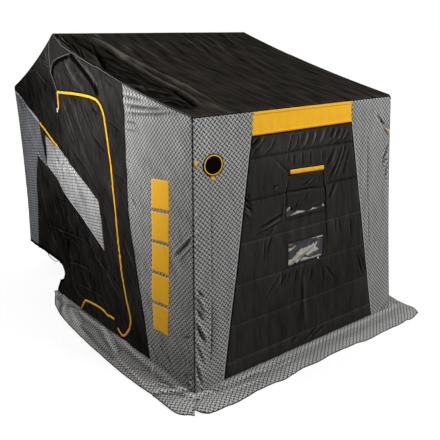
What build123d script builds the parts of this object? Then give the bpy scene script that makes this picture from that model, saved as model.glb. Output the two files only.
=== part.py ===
"""One-person flip-over ice fishing hut: a padded fabric shell on a folding fan of four pole bows.

The model is drawn with +Z up and +Y towards the back, and Y is measured from the front eave. The last
step shifts every piece, so that the origin lies on the ground under the middle of the whole hut.
Units are millimetres.
"""

from build123d import *

import math
import os

# --- Main sizes
HUT_DEPTH = 2136  # from the front eave to the rear eave
HUT_HALF_WIDTH = 700  # at both eaves
RIDGE_HEIGHT = 1700
FRONT_EAVE_HEIGHT = 1326
REAR_EAVE_HEIGHT = 1358
REAR_HEM_HEIGHT = 256

# --- Shell: places of the main corners, seen from the side (Y back from the front eave, Z up)
FRONT_FOOT_OUT = 43
RIDGE_SETBACK = HUT_DEPTH - 805
REAR_EAVE_SETBACK = HUT_DEPTH
REAR_HEM_SETBACK = HUT_DEPTH - 116
FRONT_ROOF_SAG = 34
REAR_ROOF_SAG = 32
REAR_WALL_SAG = 24

# --- Shell: half widths of the same corners
FOOT_HALF_WIDTH = HUT_HALF_WIDTH + 64
FRONT_EAVE_HALF_WIDTH = HUT_HALF_WIDTH
RIDGE_HALF_WIDTH = HUT_HALF_WIDTH + 27
REAR_EAVE_HALF_WIDTH = HUT_HALF_WIDTH
REAR_HEM_HALF_WIDTH = HUT_HALF_WIDTH + 49

# --- Fabric
FABRIC = 6.0
FILM = 1.5
TAPE = 2.0
ZIP_WIDTH = 16
BINDING_WIDTH = 18
EAVE_SEAM_DROP = 16
SKIRT_WIDTH = 176
SKIRT_THICKNESS = 4.0
SKIRT_CORNER_RADIUS = 24
SKIRT_TAPER_SETBACK = 640
SKIRT_TAIL_WIDTH = 25

# --- Raised hem at the back, where the tent sits round its sled
NOTCH_TOP_SETBACK = REAR_HEM_SETBACK - 515
NOTCH_TOP_HEIGHT = REAR_HEM_HEIGHT - 13
NOTCH_SETBACK = NOTCH_TOP_SETBACK - 80
NOTCH_HEIGHT = REAR_HEM_HEIGHT - 76
NOTCH_FOOT_SETBACK = NOTCH_TOP_SETBACK
NOTCH_FOOT_HEIGHT = REAR_HEM_HEIGHT - 151
WALL_TAIL_SETBACK = NOTCH_TOP_SETBACK + 70

# --- Front: banner, quilted panel and windows (Z up, X across)
BANNER_HEIGHT = 104
BANNER_HALF_WIDTH = 349
CENTER_TOP_HALF_WIDTH = 361
CENTER_FOOT_HALF_WIDTH = FOOT_HALF_WIDTH - 182
UPPER_WINDOW_TOP = 976
UPPER_WINDOW_BOTTOM = 768
UPPER_WINDOW_TOP_HALF_WIDTH = 126
UPPER_WINDOW_BOTTOM_HALF_WIDTH = 148
LOWER_WINDOW_TOP = 622
LOWER_WINDOW_BOTTOM = 498
LOWER_WINDOW_HALF_WIDTH = 136
WINDOW_STRIP_HEIGHT = 20
WINDOW_STRIP_RAISE = 8
STRIP_CORNER_RADIUS = 3
REAR_CENTER_HALF_WIDTH = HUT_HALF_WIDTH - 230

# --- Sides: front corner panel, door, diagonal panel and rear panel
CORNER_PANEL_EAVE_SETBACK = 564
CORNER_PANEL_MIDDLE_SETBACK = 531
CORNER_PANEL_FOOT_SETBACK = 368
DOOR_TOP = RIDGE_HEIGHT - 333
DOOR_BACK = RIDGE_SETBACK + 4
DOOR_FRONT_TOP = 776
DOOR_FRONT_FOOT = 549
DOOR_FOOT_HEIGHT = 48
DOOR_SILL_HEIGHT = 104
DOOR_TOP_RADIUS = 95
DOOR_FOOT_RADIUS = 80
ZIP_TAIL_HEIGHT = 1253
SLASH_TOP_BACK = (DOOR_BACK + 233, 1100)
SLASH_TOP_FRONT = (DOOR_BACK - 453, 783)
SLASH_TIP = (DOOR_BACK - 502, 493)
SLASH_FOOT_BACK = (DOOR_BACK + 255, 876)
WEDGE_FRONT = (HUT_DEPTH - 465, 1163)
WEDGE_NOTCH = (HUT_DEPTH - 407, 937)
STRIP_MIDDLE = (HUT_DEPTH - 325, 534)
STRIP_FOOT = (REAR_HEM_SETBACK - 154, REAR_HEM_HEIGHT)

# --- Pole bows: round tube with moulded corners, turning on a bolt in a bracket each side
TUBE_RADIUS = 12.7
TUBE_WALL = 1.5
CLEARANCE = 0.3
CORNER_BEND_RADIUS = 52
ELBOW_STRAIGHT = 16
SPIGOT_LENGTH = 42
SPIGOT_CLEARANCE = 0.2
PIVOT_SETBACK = REAR_HEM_SETBACK - 460
PIVOT_ABOVE_FOOT = 48
BRACKET_FOOT_ABOVE_HEM = 8
BRACKET_LENGTH = 96
BRACKET_STEEL = 4.0
BRACKET_BEND_RADIUS = 6.0
EAR_TOP_RADIUS = 22
LEG_PITCH = 30
EYE_RADIUS = 14
EYE_WIDTH = 14
EYE_COLLAR = 8
BOLT_RADIUS = 4.0
BOLT_HOLE_RADIUS = 4.3
BOLT_HEAD_HEIGHT = 5.3
BOLT_HEAD_ACROSS = 13
SPACER_RADIUS = 8
FOOT_HOLE_RADIUS = 3.3
FOOT_HOLE_SPACING_X = 70
FOOT_HOLE_SPACING_Y = 60

# --- Small trim
TAB_LENGTH = 34
TAB_WIDTH = 12
PATCH_RADIUS = 59
PATCH_ACROSS = 103 - HUT_HALF_WIDTH
PATCH_DROP = 224
TAB_PLACES = [  # across, and down from the eave
    (-HUT_HALF_WIDTH, 204),
    (96 - HUT_HALF_WIDTH, 306),
    (HUT_HALF_WIDTH, 204),
]
CORD_RADIUS = 2.5
SLEEVE_RADIUS = 4.0
SLEEVE_LENGTH = 12
CORD_POINTS = [  # back from the notch's top, and up from the hem
    (228, -4),
    (222, -21),
    (198, -36),
    (150, -45),
    (95, -44),
    (57, -33),
    (34, -15),
]

REACH = 4000  # longer than the hut, for cutting planes and prisms
SAME = 0.01  # two lengths this near each other are the same
TAIL = 400  # how far drawing lines run on below the ground
LEG_COUNT = 4
HALF_SPAN = LEG_PITCH * (LEG_COUNT - 1) / 2 + EYE_WIDTH / 2 + SPACER_RADIUS
EAR_OUTER = HALF_SPAN + BRACKET_STEEL
BRACKET_FOOT_Z = REAR_HEM_HEIGHT + BRACKET_FOOT_ABOVE_HEM
PIVOT_Z = BRACKET_FOOT_Z + PIVOT_ABOVE_FOOT
BOW_CORNER_RADIUS = TUBE_RADIUS + CLEARANCE + FABRIC

FRONT_FOOT = (-FRONT_FOOT_OUT, 0)
FRONT_EAVE = (0, FRONT_EAVE_HEIGHT)
RIDGE = (RIDGE_SETBACK, RIDGE_HEIGHT)
REAR_EAVE = (REAR_EAVE_SETBACK, REAR_EAVE_HEIGHT)
REAR_HEM = (REAR_HEM_SETBACK, REAR_HEM_HEIGHT)


def side_prism(sketch):
    """A sketch drawn with Y across and Z up, run right through the hut from side to side."""
    return extrude(Plane.YZ * sketch, amount=REACH, both=True)


def front_prism(sketch):
    """A sketch drawn with X across and Z up, run right through the hut from front to back."""
    return extrude(Plane.XZ * sketch, amount=REACH, both=True)


def polygon(*points):
    """A flat face with straight edges."""
    return make_face(Polyline(*points, close=True))


def mirrored(points):
    """Points of the left half of an outline, and the same points on the right in reverse."""
    return list(points) + [(-x, z) for x, z in reversed(points)]


# --- The shell's form


def facet_plane(a, b, c, out):
    """The plane through three corners (half width, Y, Z), moved outwards by out."""
    normal = (Vector(*b) - Vector(*a)).cross(Vector(*c) - Vector(*a)).normalized()
    if normal.X < 0:
        normal = -normal
    return Plane(origin=Vector(*a) + normal * out, z_dir=normal)


def side_planes(out=0.0):
    """The three facets of the right side, which fold between the corners of the bows."""
    foot = (FOOT_HALF_WIDTH, *FRONT_FOOT)
    eave = (FRONT_EAVE_HALF_WIDTH, *FRONT_EAVE)
    ridge = (RIDGE_HALF_WIDTH, *RIDGE)
    rear_eave = (REAR_EAVE_HALF_WIDTH, *REAR_EAVE)
    hem = (REAR_HEM_HALF_WIDTH, *REAR_HEM)
    return [
        facet_plane(foot, eave, ridge, out),
        facet_plane(foot, ridge, hem, out),
        facet_plane(ridge, rear_eave, hem, out),
    ]


def between_sides(solid, out=0.0):
    """What of a solid lies between the facets of both sides, moved outwards by out."""
    for plane in side_planes(out):
        solid = split(solid, bisect_by=plane, keep=Keep.BOTTOM)
        facing = Plane(
            origin=Vector(-plane.origin.X, plane.origin.Y, plane.origin.Z),
            z_dir=Vector(-plane.z_dir.X, plane.z_dir.Y, plane.z_dir.Z),
        )
        solid = split(solid, bisect_by=facing, keep=Keep.BOTTOM)
    return solid


def half_width(y, z, out=0.0):
    """Half the hut's width at a point of its side, on the fabric's outer face moved out by out."""
    widths = []
    for plane in side_planes(out):
        n, o = plane.z_dir, plane.origin
        widths.append(o.X - (n.Y * (y - o.Y) + n.Z * (z - o.Z)) / n.X)
    return min(widths)


def inset_corner(before, corner, after, inset):
    """A corner moved inwards, so that both of its edges move in by inset."""
    arriving = (Vector(*corner) - Vector(*before)).normalized()
    leaving = (Vector(*after) - Vector(*corner)).normalized()
    inward = Vector(arriving.Y + leaving.Y, -arriving.X - leaving.X)
    return Vector(*corner) + inward * (inset / (1 + arriving.dot(leaving)))


def shell_profile(inset=0.0):
    """The hut's outline from the side, moved in by inset, with its walls drawn on below the ground."""
    foot_run = FRONT_FOOT_OUT * TAIL / FRONT_EAVE_HEIGHT
    low_front = (-FRONT_FOOT_OUT - foot_run, -TAIL)
    low_rear = (REAR_HEM_SETBACK, -TAIL)
    ring = [low_front, FRONT_EAVE, RIDGE, REAR_EAVE, REAR_HEM, low_rear]
    corners = []
    for count, corner in enumerate(ring):
        after = ring[(count + 1) % len(ring)]
        corners.append(inset_corner(ring[count - 1], corner, after, inset))
    low_front, eave, ridge, rear_eave, hem, low_rear = corners
    edges = [
        Line(low_front, eave),
        SagittaArc(eave, ridge, -FRONT_ROOF_SAG),
        SagittaArc(ridge, rear_eave, -REAR_ROOF_SAG),
        SagittaArc(rear_eave, hem, -REAR_WALL_SAG),
        Line(hem, low_rear),
        Line(low_rear, low_front),
    ]
    face = make_face(Curve() + edges)
    rounded = [face.vertices().sort_by_distance(corner)[0] for corner in (eave, ridge, rear_eave)]
    return fillet(rounded, BOW_CORNER_RADIUS - inset)


PROFILE = shell_profile()
SHELL_SOLID = side_prism(PROFILE)


def bow_centres():
    """Where each bow's cross bar runs: the middle of the rounding that it gives the fabric."""
    rounds = []
    for edge in PROFILE.edges().filter_by(GeomType.CIRCLE):
        if abs(edge.radius - BOW_CORNER_RADIUS) < SAME:
            rounds.append(edge.arc_center)
    rounds.sort(key=lambda centre: centre.Y if abs(centre.Z) > 1 else centre.X)
    return [(centre.X, centre.Y) for centre in rounds]


def hem_path():
    """The raised edge of each side: level along the sled, then round the notch and down."""
    hem_top = (NOTCH_TOP_SETBACK, NOTCH_TOP_HEIGHT)
    notch = (NOTCH_SETBACK, NOTCH_HEIGHT)
    notch_foot = (NOTCH_FOOT_SETBACK, NOTCH_FOOT_HEIGHT)
    tail_run = (WALL_TAIL_SETBACK - NOTCH_FOOT_SETBACK) / NOTCH_FOOT_HEIGHT
    below = (WALL_TAIL_SETBACK + tail_run * BINDING_WIDTH, -BINDING_WIDTH)
    return [
        Line(REAR_HEM, hem_top),
        ThreePointArc(hem_top, notch, notch_foot),
        Line(notch_foot, below),
    ]


def sled_room():
    """The room under the raised hem, in side view, drawn on behind the hut."""
    path = hem_path()
    end = path[-1] @ 1
    behind = REAR_EAVE_SETBACK + TAIL
    corner = (behind, REAR_HEM_HEIGHT)
    edges = path + [
        Line(end, (behind, end.Y)),
        Line((behind, end.Y), corner),
        Line(corner, REAR_HEM),
    ]
    return make_face(Curve() + edges)


BELOW_GROUND = Pos(0, -REACH / 2) * Rectangle(2 * REACH, REACH)
SLED_ROOM = sled_room()
SIDE = PROFILE - SLED_ROOM - BELOW_GROUND
HEM_BAND = make_face(
    Polyline(
        REAR_HEM,
        (REAR_HEM_SETBACK + TAIL, REAR_HEM_HEIGHT),
        (REAR_HEM_SETBACK + TAIL, REAR_HEM_HEIGHT + BINDING_WIDTH),
        (REAR_HEM_SETBACK, REAR_HEM_HEIGHT + BINDING_WIDTH),
        (NOTCH_TOP_SETBACK, NOTCH_TOP_HEIGHT + BINDING_WIDTH),
        (NOTCH_TOP_SETBACK, NOTCH_TOP_HEIGHT),
        close=True,
    )
)
SIDE_SKINS = between_sides(SHELL_SOLID) - between_sides(SHELL_SOLID, -FABRIC)

# --- Panels of the sides


def corner_region():
    """The light front corner panel, whose back edge leans forward towards its foot."""
    eave = (CORNER_PANEL_EAVE_SETBACK, FRONT_EAVE_HEIGHT)
    middle = (CORNER_PANEL_MIDDLE_SETBACK, FRONT_EAVE_HEIGHT / 2)
    foot = (CORNER_PANEL_FOOT_SETBACK, 0)
    top = (CORNER_PANEL_EAVE_SETBACK, RIDGE_HEIGHT)
    front = -FRONT_FOOT_OUT - TAIL
    edges = [
        Line(top, eave),
        ThreePointArc(eave, middle, foot),
        Line(foot, (front, 0)),
        Line((front, 0), (front, RIDGE_HEIGHT)),
        Line((front, RIDGE_HEIGHT), top),
    ]
    return make_face(Curve() + edges)


def door_region():
    """The door: a D with a slanted front edge and rounded front corners."""
    face = polygon(
        (DOOR_BACK, DOOR_TOP),
        (DOOR_FRONT_TOP, DOOR_TOP),
        (DOOR_FRONT_FOOT, DOOR_FOOT_HEIGHT),
        (DOOR_BACK, DOOR_SILL_HEIGHT),
    )
    top = face.vertices().sort_by_distance(Vector(DOOR_FRONT_TOP, DOOR_TOP))[0]
    face = fillet(top, DOOR_TOP_RADIUS)
    foot = face.vertices().sort_by_distance(Vector(DOOR_FRONT_FOOT, DOOR_FOOT_HEIGHT))[0]
    return fillet(foot, DOOR_FOOT_RADIUS)


def zip_region():
    """The zip: a band along the door's edge, from its tail at the back down to the ground."""
    outline = door_region()
    band = offset(outline, ZIP_WIDTH / 2) - offset(outline, -ZIP_WIDTH / 2)
    back = DOOR_BACK + ZIP_WIDTH
    below_tail = polygon(
        (DOOR_BACK - ZIP_WIDTH, DOOR_SILL_HEIGHT + ZIP_WIDTH),
        (DOOR_BACK - ZIP_WIDTH, ZIP_TAIL_HEIGHT),
        (back, ZIP_TAIL_HEIGHT),
        (back, DOOR_SILL_HEIGHT + ZIP_WIDTH),
    )
    return band - below_tail


def slash_region():
    return polygon(SLASH_TOP_BACK, SLASH_TOP_FRONT, SLASH_TIP, SLASH_FOOT_BACK)


def rear_region():
    """The light panel at the back: a wedge under the rear eave and a strip down to the hem."""
    far = REAR_EAVE_SETBACK + TAIL
    slope = (REAR_EAVE_HEIGHT - WEDGE_FRONT[1]) / (REAR_EAVE_SETBACK - WEDGE_FRONT[0])
    edges = [
        Line((far, REAR_EAVE_HEIGHT + slope * TAIL), WEDGE_FRONT),
        Line(WEDGE_FRONT, SLASH_FOOT_BACK),
        Line(SLASH_FOOT_BACK, WEDGE_NOTCH),
        ThreePointArc(WEDGE_NOTCH, STRIP_MIDDLE, STRIP_FOOT),
        Line(STRIP_FOOT, (STRIP_FOOT[0], 0)),
        Line((STRIP_FOOT[0], 0), (far, 0)),
        Line((far, 0), (far, REAR_EAVE_HEIGHT + slope * TAIL)),
    ]
    return make_face(Curve() + edges)


def lower_region():
    """Between the door's back edge and the light rear strip, under the diagonal panel."""
    rise = (SLASH_FOOT_BACK[1] - SLASH_TIP[1]) / (SLASH_FOOT_BACK[0] - SLASH_TIP[0])
    slash_at_door = SLASH_TIP[1] + rise * (DOOR_BACK - SLASH_TIP[0])
    edges = [
        Line((DOOR_BACK, -TAIL), (DOOR_BACK, slash_at_door)),
        Line((DOOR_BACK, slash_at_door), SLASH_FOOT_BACK),
        Line(SLASH_FOOT_BACK, WEDGE_NOTCH),
        ThreePointArc(WEDGE_NOTCH, STRIP_MIDDLE, STRIP_FOOT),
        Line(STRIP_FOOT, (STRIP_FOOT[0], -TAIL)),
        Line((STRIP_FOOT[0], -TAIL), (DOOR_BACK, -TAIL)),
    ]
    return make_face(Curve() + edges)


def side_regions():
    """Each panel of a side by name, in side view."""
    slash = slash_region()
    panels = {
        "corner_panel": corner_region(),
        "door_panel": door_region() - slash,
        "slash_panel": slash,
        "rear_panel": rear_region(),
        "lower_panel": lower_region(),
    }
    upper = SIDE
    for region in panels.values():
        upper = upper - region
    panels["upper_panel"] = upper - HEM_BAND
    for name in ("corner_panel", "door_panel", "slash_panel", "rear_panel", "lower_panel"):
        panels[name] = (panels[name] & SIDE) - HEM_BAND
    panels["hem_binding"] = HEM_BAND & SIDE
    return panels


def left_and_right(solid):
    """The part of a solid on each side of the hut's middle."""
    left = split(solid, bisect_by=Plane.YZ, keep=Keep.BOTTOM)
    right = split(solid, bisect_by=Plane.YZ, keep=Keep.TOP)
    return {"left": left, "right": right}


def side_panels():
    parts = {}
    for name, region in side_regions().items():
        for hand, solid in left_and_right(SIDE_SKINS & side_prism(region)).items():
            parts[f"{hand}_{name}"] = solid
    zip_layer = between_sides(SHELL_SOLID, TAPE) - between_sides(SHELL_SOLID)
    zips = left_and_right(zip_layer & side_prism(zip_region() & SIDE))
    for hand, solid in zips.items():
        parts[f"{hand}_door_zip"] = solid
    return parts


# --- Roof, front and rear walls, between the side panels


def cross_skin():
    """Roof, front and rear wall in one, seen from the side."""
    return PROFILE - shell_profile(FABRIC)


def cross_walls():
    """The skin cut at the seams beside each bow: front wall, two roof panels and rear wall."""
    skin = cross_skin()
    front_top = FRONT_EAVE_HEIGHT - EAVE_SEAM_DROP
    rear_top = REAR_EAVE_HEIGHT - EAVE_SEAM_DROP
    middle = RIDGE_SETBACK
    front = Pos(0, front_top / 2) * Rectangle(2 * middle, front_top)
    rear_height = rear_top - REAR_HEM_HEIGHT
    rear_middle = REAR_HEM_HEIGHT + rear_height / 2
    rear = Pos(2 * middle, rear_middle) * Rectangle(2 * middle, rear_height)
    front_roof = Pos(0, front_top + middle) * Rectangle(2 * middle, 2 * middle)
    rear_roof = Pos(2 * middle, rear_top + middle) * Rectangle(2 * middle, 2 * middle)
    walls = {}
    for name, region in (
        ("front", front),
        ("rear", rear),
        ("roof_front", front_roof),
        ("roof_rear", rear_roof),
    ):
        walls[name] = between_sides(side_prism(skin & region), -FABRIC)
    return walls


def window_region(top, bottom, top_half, bottom_half):
    return polygon((-bottom_half, bottom), (bottom_half, bottom), (top_half, top), (-top_half, top))


def front_panels(wall):
    """The front wall cut into its panels, with both windows."""
    top = FRONT_EAVE_HEIGHT
    banner_foot = top - EAVE_SEAM_DROP - BANNER_HEIGHT
    banner = polygon(
        *mirrored([(-BANNER_HALF_WIDTH, top), (-CENTER_TOP_HALF_WIDTH, banner_foot)])
    )
    center = polygon(
        *mirrored([(-CENTER_TOP_HALF_WIDTH, banner_foot), (-CENTER_FOOT_HALF_WIDTH, 0)])
    )
    upper = window_region(
        UPPER_WINDOW_TOP,
        UPPER_WINDOW_BOTTOM,
        UPPER_WINDOW_TOP_HALF_WIDTH,
        UPPER_WINDOW_BOTTOM_HALF_WIDTH,
    )
    lower = window_region(
        LOWER_WINDOW_TOP,
        LOWER_WINDOW_BOTTOM,
        LOWER_WINDOW_HALF_WIDTH,
        LOWER_WINDOW_HALF_WIDTH,
    )
    outer = wall - front_prism(banner) - front_prism(center)
    halves = left_and_right(outer)
    parts = {
        "front_banner": wall & front_prism(banner),
        "front_center_panel": wall & front_prism(center - upper - lower),
        "front_left_panel": halves["left"],
        "front_right_panel": halves["right"],
    }
    film = Pos(0, FABRIC / 2, 0) * wall - Pos(0, FABRIC / 2 + FILM, 0) * wall
    film = film & wall
    parts["upper_window"] = film & front_prism(upper)
    parts["lower_window"] = film & front_prism(lower)
    return parts


def front_face():
    """The front wall's outer face: X across, Y up the slope from the ground."""
    slope = Vector(0, FRONT_FOOT_OUT, FRONT_EAVE_HEIGHT).normalized()
    out = Vector(1, 0, 0).cross(slope)
    return Plane(origin=Vector(0, -FRONT_FOOT_OUT, 0), x_dir=Vector(1, 0, 0), z_dir=out)


def window_strip():
    """The flap of light tape sewn on just over the upper window."""
    middle = UPPER_WINDOW_TOP + WINDOW_STRIP_RAISE + WINDOW_STRIP_HEIGHT / 2
    width = 2 * UPPER_WINDOW_TOP_HALF_WIDTH
    tape = Pos(0, middle) * RectangleRounded(width, WINDOW_STRIP_HEIGHT, STRIP_CORNER_RADIUS)
    return extrude(front_face() * tape, amount=TAPE)


def rear_panels(wall):
    """The rear wall: a dark middle, a light band up each side and the binding at its foot."""
    tall = REAR_EAVE_HEIGHT
    center = Pos(0, tall / 2) * Rectangle(2 * REAR_CENTER_HALF_WIDTH, tall)
    hem_top = REAR_HEM_HEIGHT + BINDING_WIDTH
    hem = Pos(0, hem_top / 2) * Rectangle(REACH, hem_top)
    halves = left_and_right(wall - front_prism(center) - front_prism(hem))
    return {
        "rear_center_panel": (wall & front_prism(center)) - front_prism(hem),
        "rear_left_band": halves["left"],
        "rear_right_band": halves["right"],
        "rear_hem_binding": wall & front_prism(hem),
    }


# --- Ground skirt


def skirts():
    """Flat flaps on the ground, mitred at the front corners and tapered to the wall at the back."""
    foot = FOOT_HALF_WIDTH
    edge = foot + SKIRT_WIDTH
    front = -FRONT_FOOT_OUT - SKIRT_WIDTH
    tail = (foot + SKIRT_TAIL_WIDTH, WALL_TAIL_SETBACK)
    taper_start = (edge, SKIRT_TAPER_SETBACK)
    inner = foot - 2 * FABRIC
    side_edges = [
        Line((inner, -FRONT_FOOT_OUT + 2 * FABRIC), (edge, front)),
        Line((edge, front), taper_start),
        TangentArc(taper_start, tail, tangent=(0, 1)),
        Line(tail, (inner, WALL_TAIL_SETBACK)),
        Line((inner, WALL_TAIL_SETBACK), (inner, -FRONT_FOOT_OUT + 2 * FABRIC)),
    ]
    side = make_face(Curve() + side_edges)
    side = fillet(side.vertices().sort_by_distance(Vector(edge, front))[0], SKIRT_CORNER_RADIUS)
    across = polygon(
        (-inner, -FRONT_FOOT_OUT + 2 * FABRIC),
        (-edge, front),
        (edge, front),
        (inner, -FRONT_FOOT_OUT + 2 * FABRIC),
    )
    ends = across.vertices().group_by(Axis.Y)[0]
    across = fillet(ends, SKIRT_CORNER_RADIUS)
    room = between_sides(SHELL_SOLID)
    right = extrude(side, amount=SKIRT_THICKNESS) - room
    return {
        "front_skirt": extrude(across, amount=SKIRT_THICKNESS) - room,
        "right_skirt": right,
        "left_skirt": mirror(right, about=Plane.YZ),
    }


# --- Frame: a fan of four bows that turn on one bolt each side


def hub_x():
    """The middle of the right-hand bracket, whose outer bolt head just clears the fabric."""
    head_reach = EAR_OUTER + BOLT_HEAD_HEIGHT + CLEARANCE
    low = half_width(PIVOT_SETBACK, BRACKET_FOOT_Z, -FABRIC)
    high = half_width(PIVOT_SETBACK, PIVOT_Z + EAR_TOP_RADIUS, -FABRIC)
    return min(low, high) - head_reach - CLEARANCE


def bow_corners():
    """The cross bars in side view, front and low first: (Y, Z)."""
    base_z = TUBE_RADIUS + CLEARANCE
    lean = FRONT_FOOT_OUT / FRONT_EAVE_HEIGHT
    wall = (FABRIC + CLEARANCE + TUBE_RADIUS) * math.hypot(1, lean)
    base_y = -FRONT_FOOT_OUT + base_z * lean + wall
    upper_bows = zip(("front_bow", "ridge_bow", "rear_bow"), bow_centres())
    return {"base_bow": (base_y, base_z), **dict(upper_bows)}


# which leg each bow has on the pivot bolt, counted from the outside in
LEG_PLACES = {"base_bow": 0, "ridge_bow": 1, "front_bow": 2, "rear_bow": 3}


def tube_between(start, end):
    """A straight tube of the frame's section."""
    direction = (end - start).normalized()
    section = Plane(origin=start, z_dir=direction) * (
        Circle(TUBE_RADIUS) - Circle(TUBE_RADIUS - TUBE_WALL)
    )
    return extrude(section, amount=(end - start).length, dir=direction)


def plug_at(point, direction):
    """The spigot that a moulded fitting pushes into a tube."""
    radius = TUBE_RADIUS - TUBE_WALL - SPIGOT_CLEARANCE
    section = Plane(origin=point, z_dir=direction) * Circle(radius)
    return extrude(section, amount=SPIGOT_LENGTH, dir=direction)


def elbow(corner, towards_bar, towards_leg):
    """A moulded corner of the tube's own diameter, with a spigot for each of its two tubes."""
    turn = math.pi - math.radians(towards_bar.get_angle(towards_leg))
    run = CORNER_BEND_RADIUS * math.tan(turn / 2) + ELBOW_STRAIGHT
    bar_end = corner + towards_bar * run
    leg_end = corner + towards_leg * run
    path = FilletPolyline(bar_end, corner, leg_end, radius=CORNER_BEND_RADIUS)
    body = sweep(Plane(origin=path @ 0, z_dir=path % 0) * Circle(TUBE_RADIUS), path=path)
    body = body + plug_at(bar_end, towards_bar) + plug_at(leg_end, towards_leg)
    return body, bar_end, leg_end


def leg_eye(pivot, towards_corner):
    """The moulded eye at a leg's foot, and where its tube starts."""
    eye = Plane(origin=pivot, z_dir=Vector(1, 0, 0)) * Cylinder(EYE_RADIUS, EYE_WIDTH)
    start = pivot + towards_corner * (EYE_RADIUS + EYE_COLLAR)
    neck_plane = Plane(origin=pivot, z_dir=towards_corner, x_dir=Vector(1, 0, 0))
    neck = extrude(
        neck_plane * Rectangle(EYE_WIDTH, 1.5 * EYE_RADIUS), amount=EYE_RADIUS + EYE_COLLAR / 2
    )
    collar_plane = Plane(origin=start - towards_corner * EYE_COLLAR / 2, z_dir=towards_corner)
    collar = extrude(collar_plane * Circle(TUBE_RADIUS), amount=EYE_COLLAR / 2)
    bore = Plane(origin=pivot, z_dir=Vector(1, 0, 0)) * Cylinder(BOLT_HOLE_RADIUS, REACH / 8)
    return eye + neck + collar + plug_at(start, towards_corner) - bore, start


def bow(corner_yz, place):
    """One bow: its tubes, its two moulded corners and its two eyes."""
    y, z = corner_yz
    corner_x = half_width(y, z, -FABRIC - CLEARANCE - TUBE_RADIUS) - CLEARANCE
    foot_x = hub_x() + LEG_PITCH * ((LEG_COUNT - 1) / 2 - place)
    tubes, elbows, eyes, bar_ends = [], [], [], []
    for hand in (-1, 1):
        corner = Vector(hand * corner_x, y, z)
        pivot = Vector(hand * foot_x, PIVOT_SETBACK, PIVOT_Z)
        to_corner = (corner - pivot).normalized()
        corner_fitting, bar_end, leg_end = elbow(corner, Vector(-hand, 0, 0), -to_corner)
        eye, leg_start = leg_eye(pivot, to_corner)
        tubes.append(tube_between(leg_start, leg_end))
        elbows.append(corner_fitting)
        eyes.append(eye)
        bar_ends.append(bar_end)
    tubes.append(tube_between(bar_ends[0], bar_ends[1]))
    return tubes, elbows, eyes


def pivot_bracket():
    """The right-hand bracket: a steel channel, open upwards, whose foot bolts down on the sled."""
    height = PIVOT_ABOVE_FOOT + EAR_TOP_RADIUS
    channel = Pos(0, height / 2) * Rectangle(2 * EAR_OUTER, height)
    hollow = Pos(0, BRACKET_STEEL + height / 2) * Rectangle(2 * HALF_SPAN, height)
    hollow = fillet(hollow.vertices().group_by(Axis.Y)[0], BRACKET_BEND_RADIUS - BRACKET_STEEL)
    channel = fillet(channel.vertices().group_by(Axis.Y)[0], BRACKET_BEND_RADIUS) - hollow
    solid = extrude(Plane.XZ * channel, amount=BRACKET_LENGTH / 2, both=True)
    ear = make_hull(
        [
            *(Pos(0, PIVOT_ABOVE_FOOT) * Circle(EAR_TOP_RADIUS)).edges(),
            *(Pos(0, BRACKET_STEEL) * Rectangle(BRACKET_LENGTH, 2 * BRACKET_STEEL)).edges(),
        ]
    )
    solid = solid & extrude(Plane.YZ * ear, amount=REACH, both=True)
    bore = Pos(0, 0, PIVOT_ABOVE_FOOT) * Rot(0, 90, 0) * Cylinder(BOLT_HOLE_RADIUS, REACH)
    holes = GridLocations(FOOT_HOLE_SPACING_X, FOOT_HOLE_SPACING_Y, 2, 2)
    for place in holes:
        solid = solid - place * Cylinder(FOOT_HOLE_RADIUS, 6 * BRACKET_STEEL)
    return Pos(hub_x(), PIVOT_SETBACK, BRACKET_FOOT_Z) * (solid - bore)


def pivot_bolt():
    """The right-hand bolt with its head and nut, and the spacers between the legs' eyes."""
    hexagon = RegularPolygon(BOLT_HEAD_ACROSS / 2, 6, major_radius=False)
    shaft = Cylinder(BOLT_RADIUS, 2 * (EAR_OUTER + BOLT_HEAD_HEIGHT))
    head = Pos(0, 0, EAR_OUTER) * extrude(hexagon, amount=BOLT_HEAD_HEIGHT)
    nut = Pos(0, 0, -EAR_OUTER - BOLT_HEAD_HEIGHT) * extrude(hexagon, amount=BOLT_HEAD_HEIGHT)
    place = Pos(hub_x(), PIVOT_SETBACK, PIVOT_Z) * Rot(0, 90, 0)
    pieces = [place * (shaft + head + nut)]
    ring = Circle(SPACER_RADIUS) - Circle(BOLT_HOLE_RADIUS)
    eye_ends = [-HALF_SPAN]
    for count in range(LEG_COUNT):
        middle = LEG_PITCH * (count - (LEG_COUNT - 1) / 2)
        eye_ends += [middle - EYE_WIDTH / 2, middle + EYE_WIDTH / 2]
    eye_ends.append(HALF_SPAN)
    for start, end in zip(eye_ends[::2], eye_ends[1::2]):
        spacer = extrude(ring, amount=end - start - 3 * CLEARANCE)
        pieces.append(place * Pos(0, 0, start + 1.5 * CLEARANCE) * spacer)
    return pieces


def frame():
    parts = {}
    elbows, eyes = [], []
    corners = bow_corners()
    for name, corner in corners.items():
        tubes, bow_elbows, bow_eyes = bow(corner, LEG_PLACES[name])
        parts[name] = Compound(children=tubes)
        elbows += bow_elbows
        eyes += bow_eyes
    parts["bow_elbows"] = Compound(children=elbows)
    parts["leg_eyes"] = Compound(children=eyes)
    bracket = pivot_bracket()
    bolt = pivot_bolt()
    parts["right_pivot_bracket"] = bracket
    parts["left_pivot_bracket"] = mirror(bracket, about=Plane.YZ)
    parts["right_pivot_bolt"] = Compound(children=bolt)
    parts["left_pivot_bolt"] = Compound(children=[mirror(piece, about=Plane.YZ) for piece in bolt])
    return parts


# --- Small trim


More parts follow.
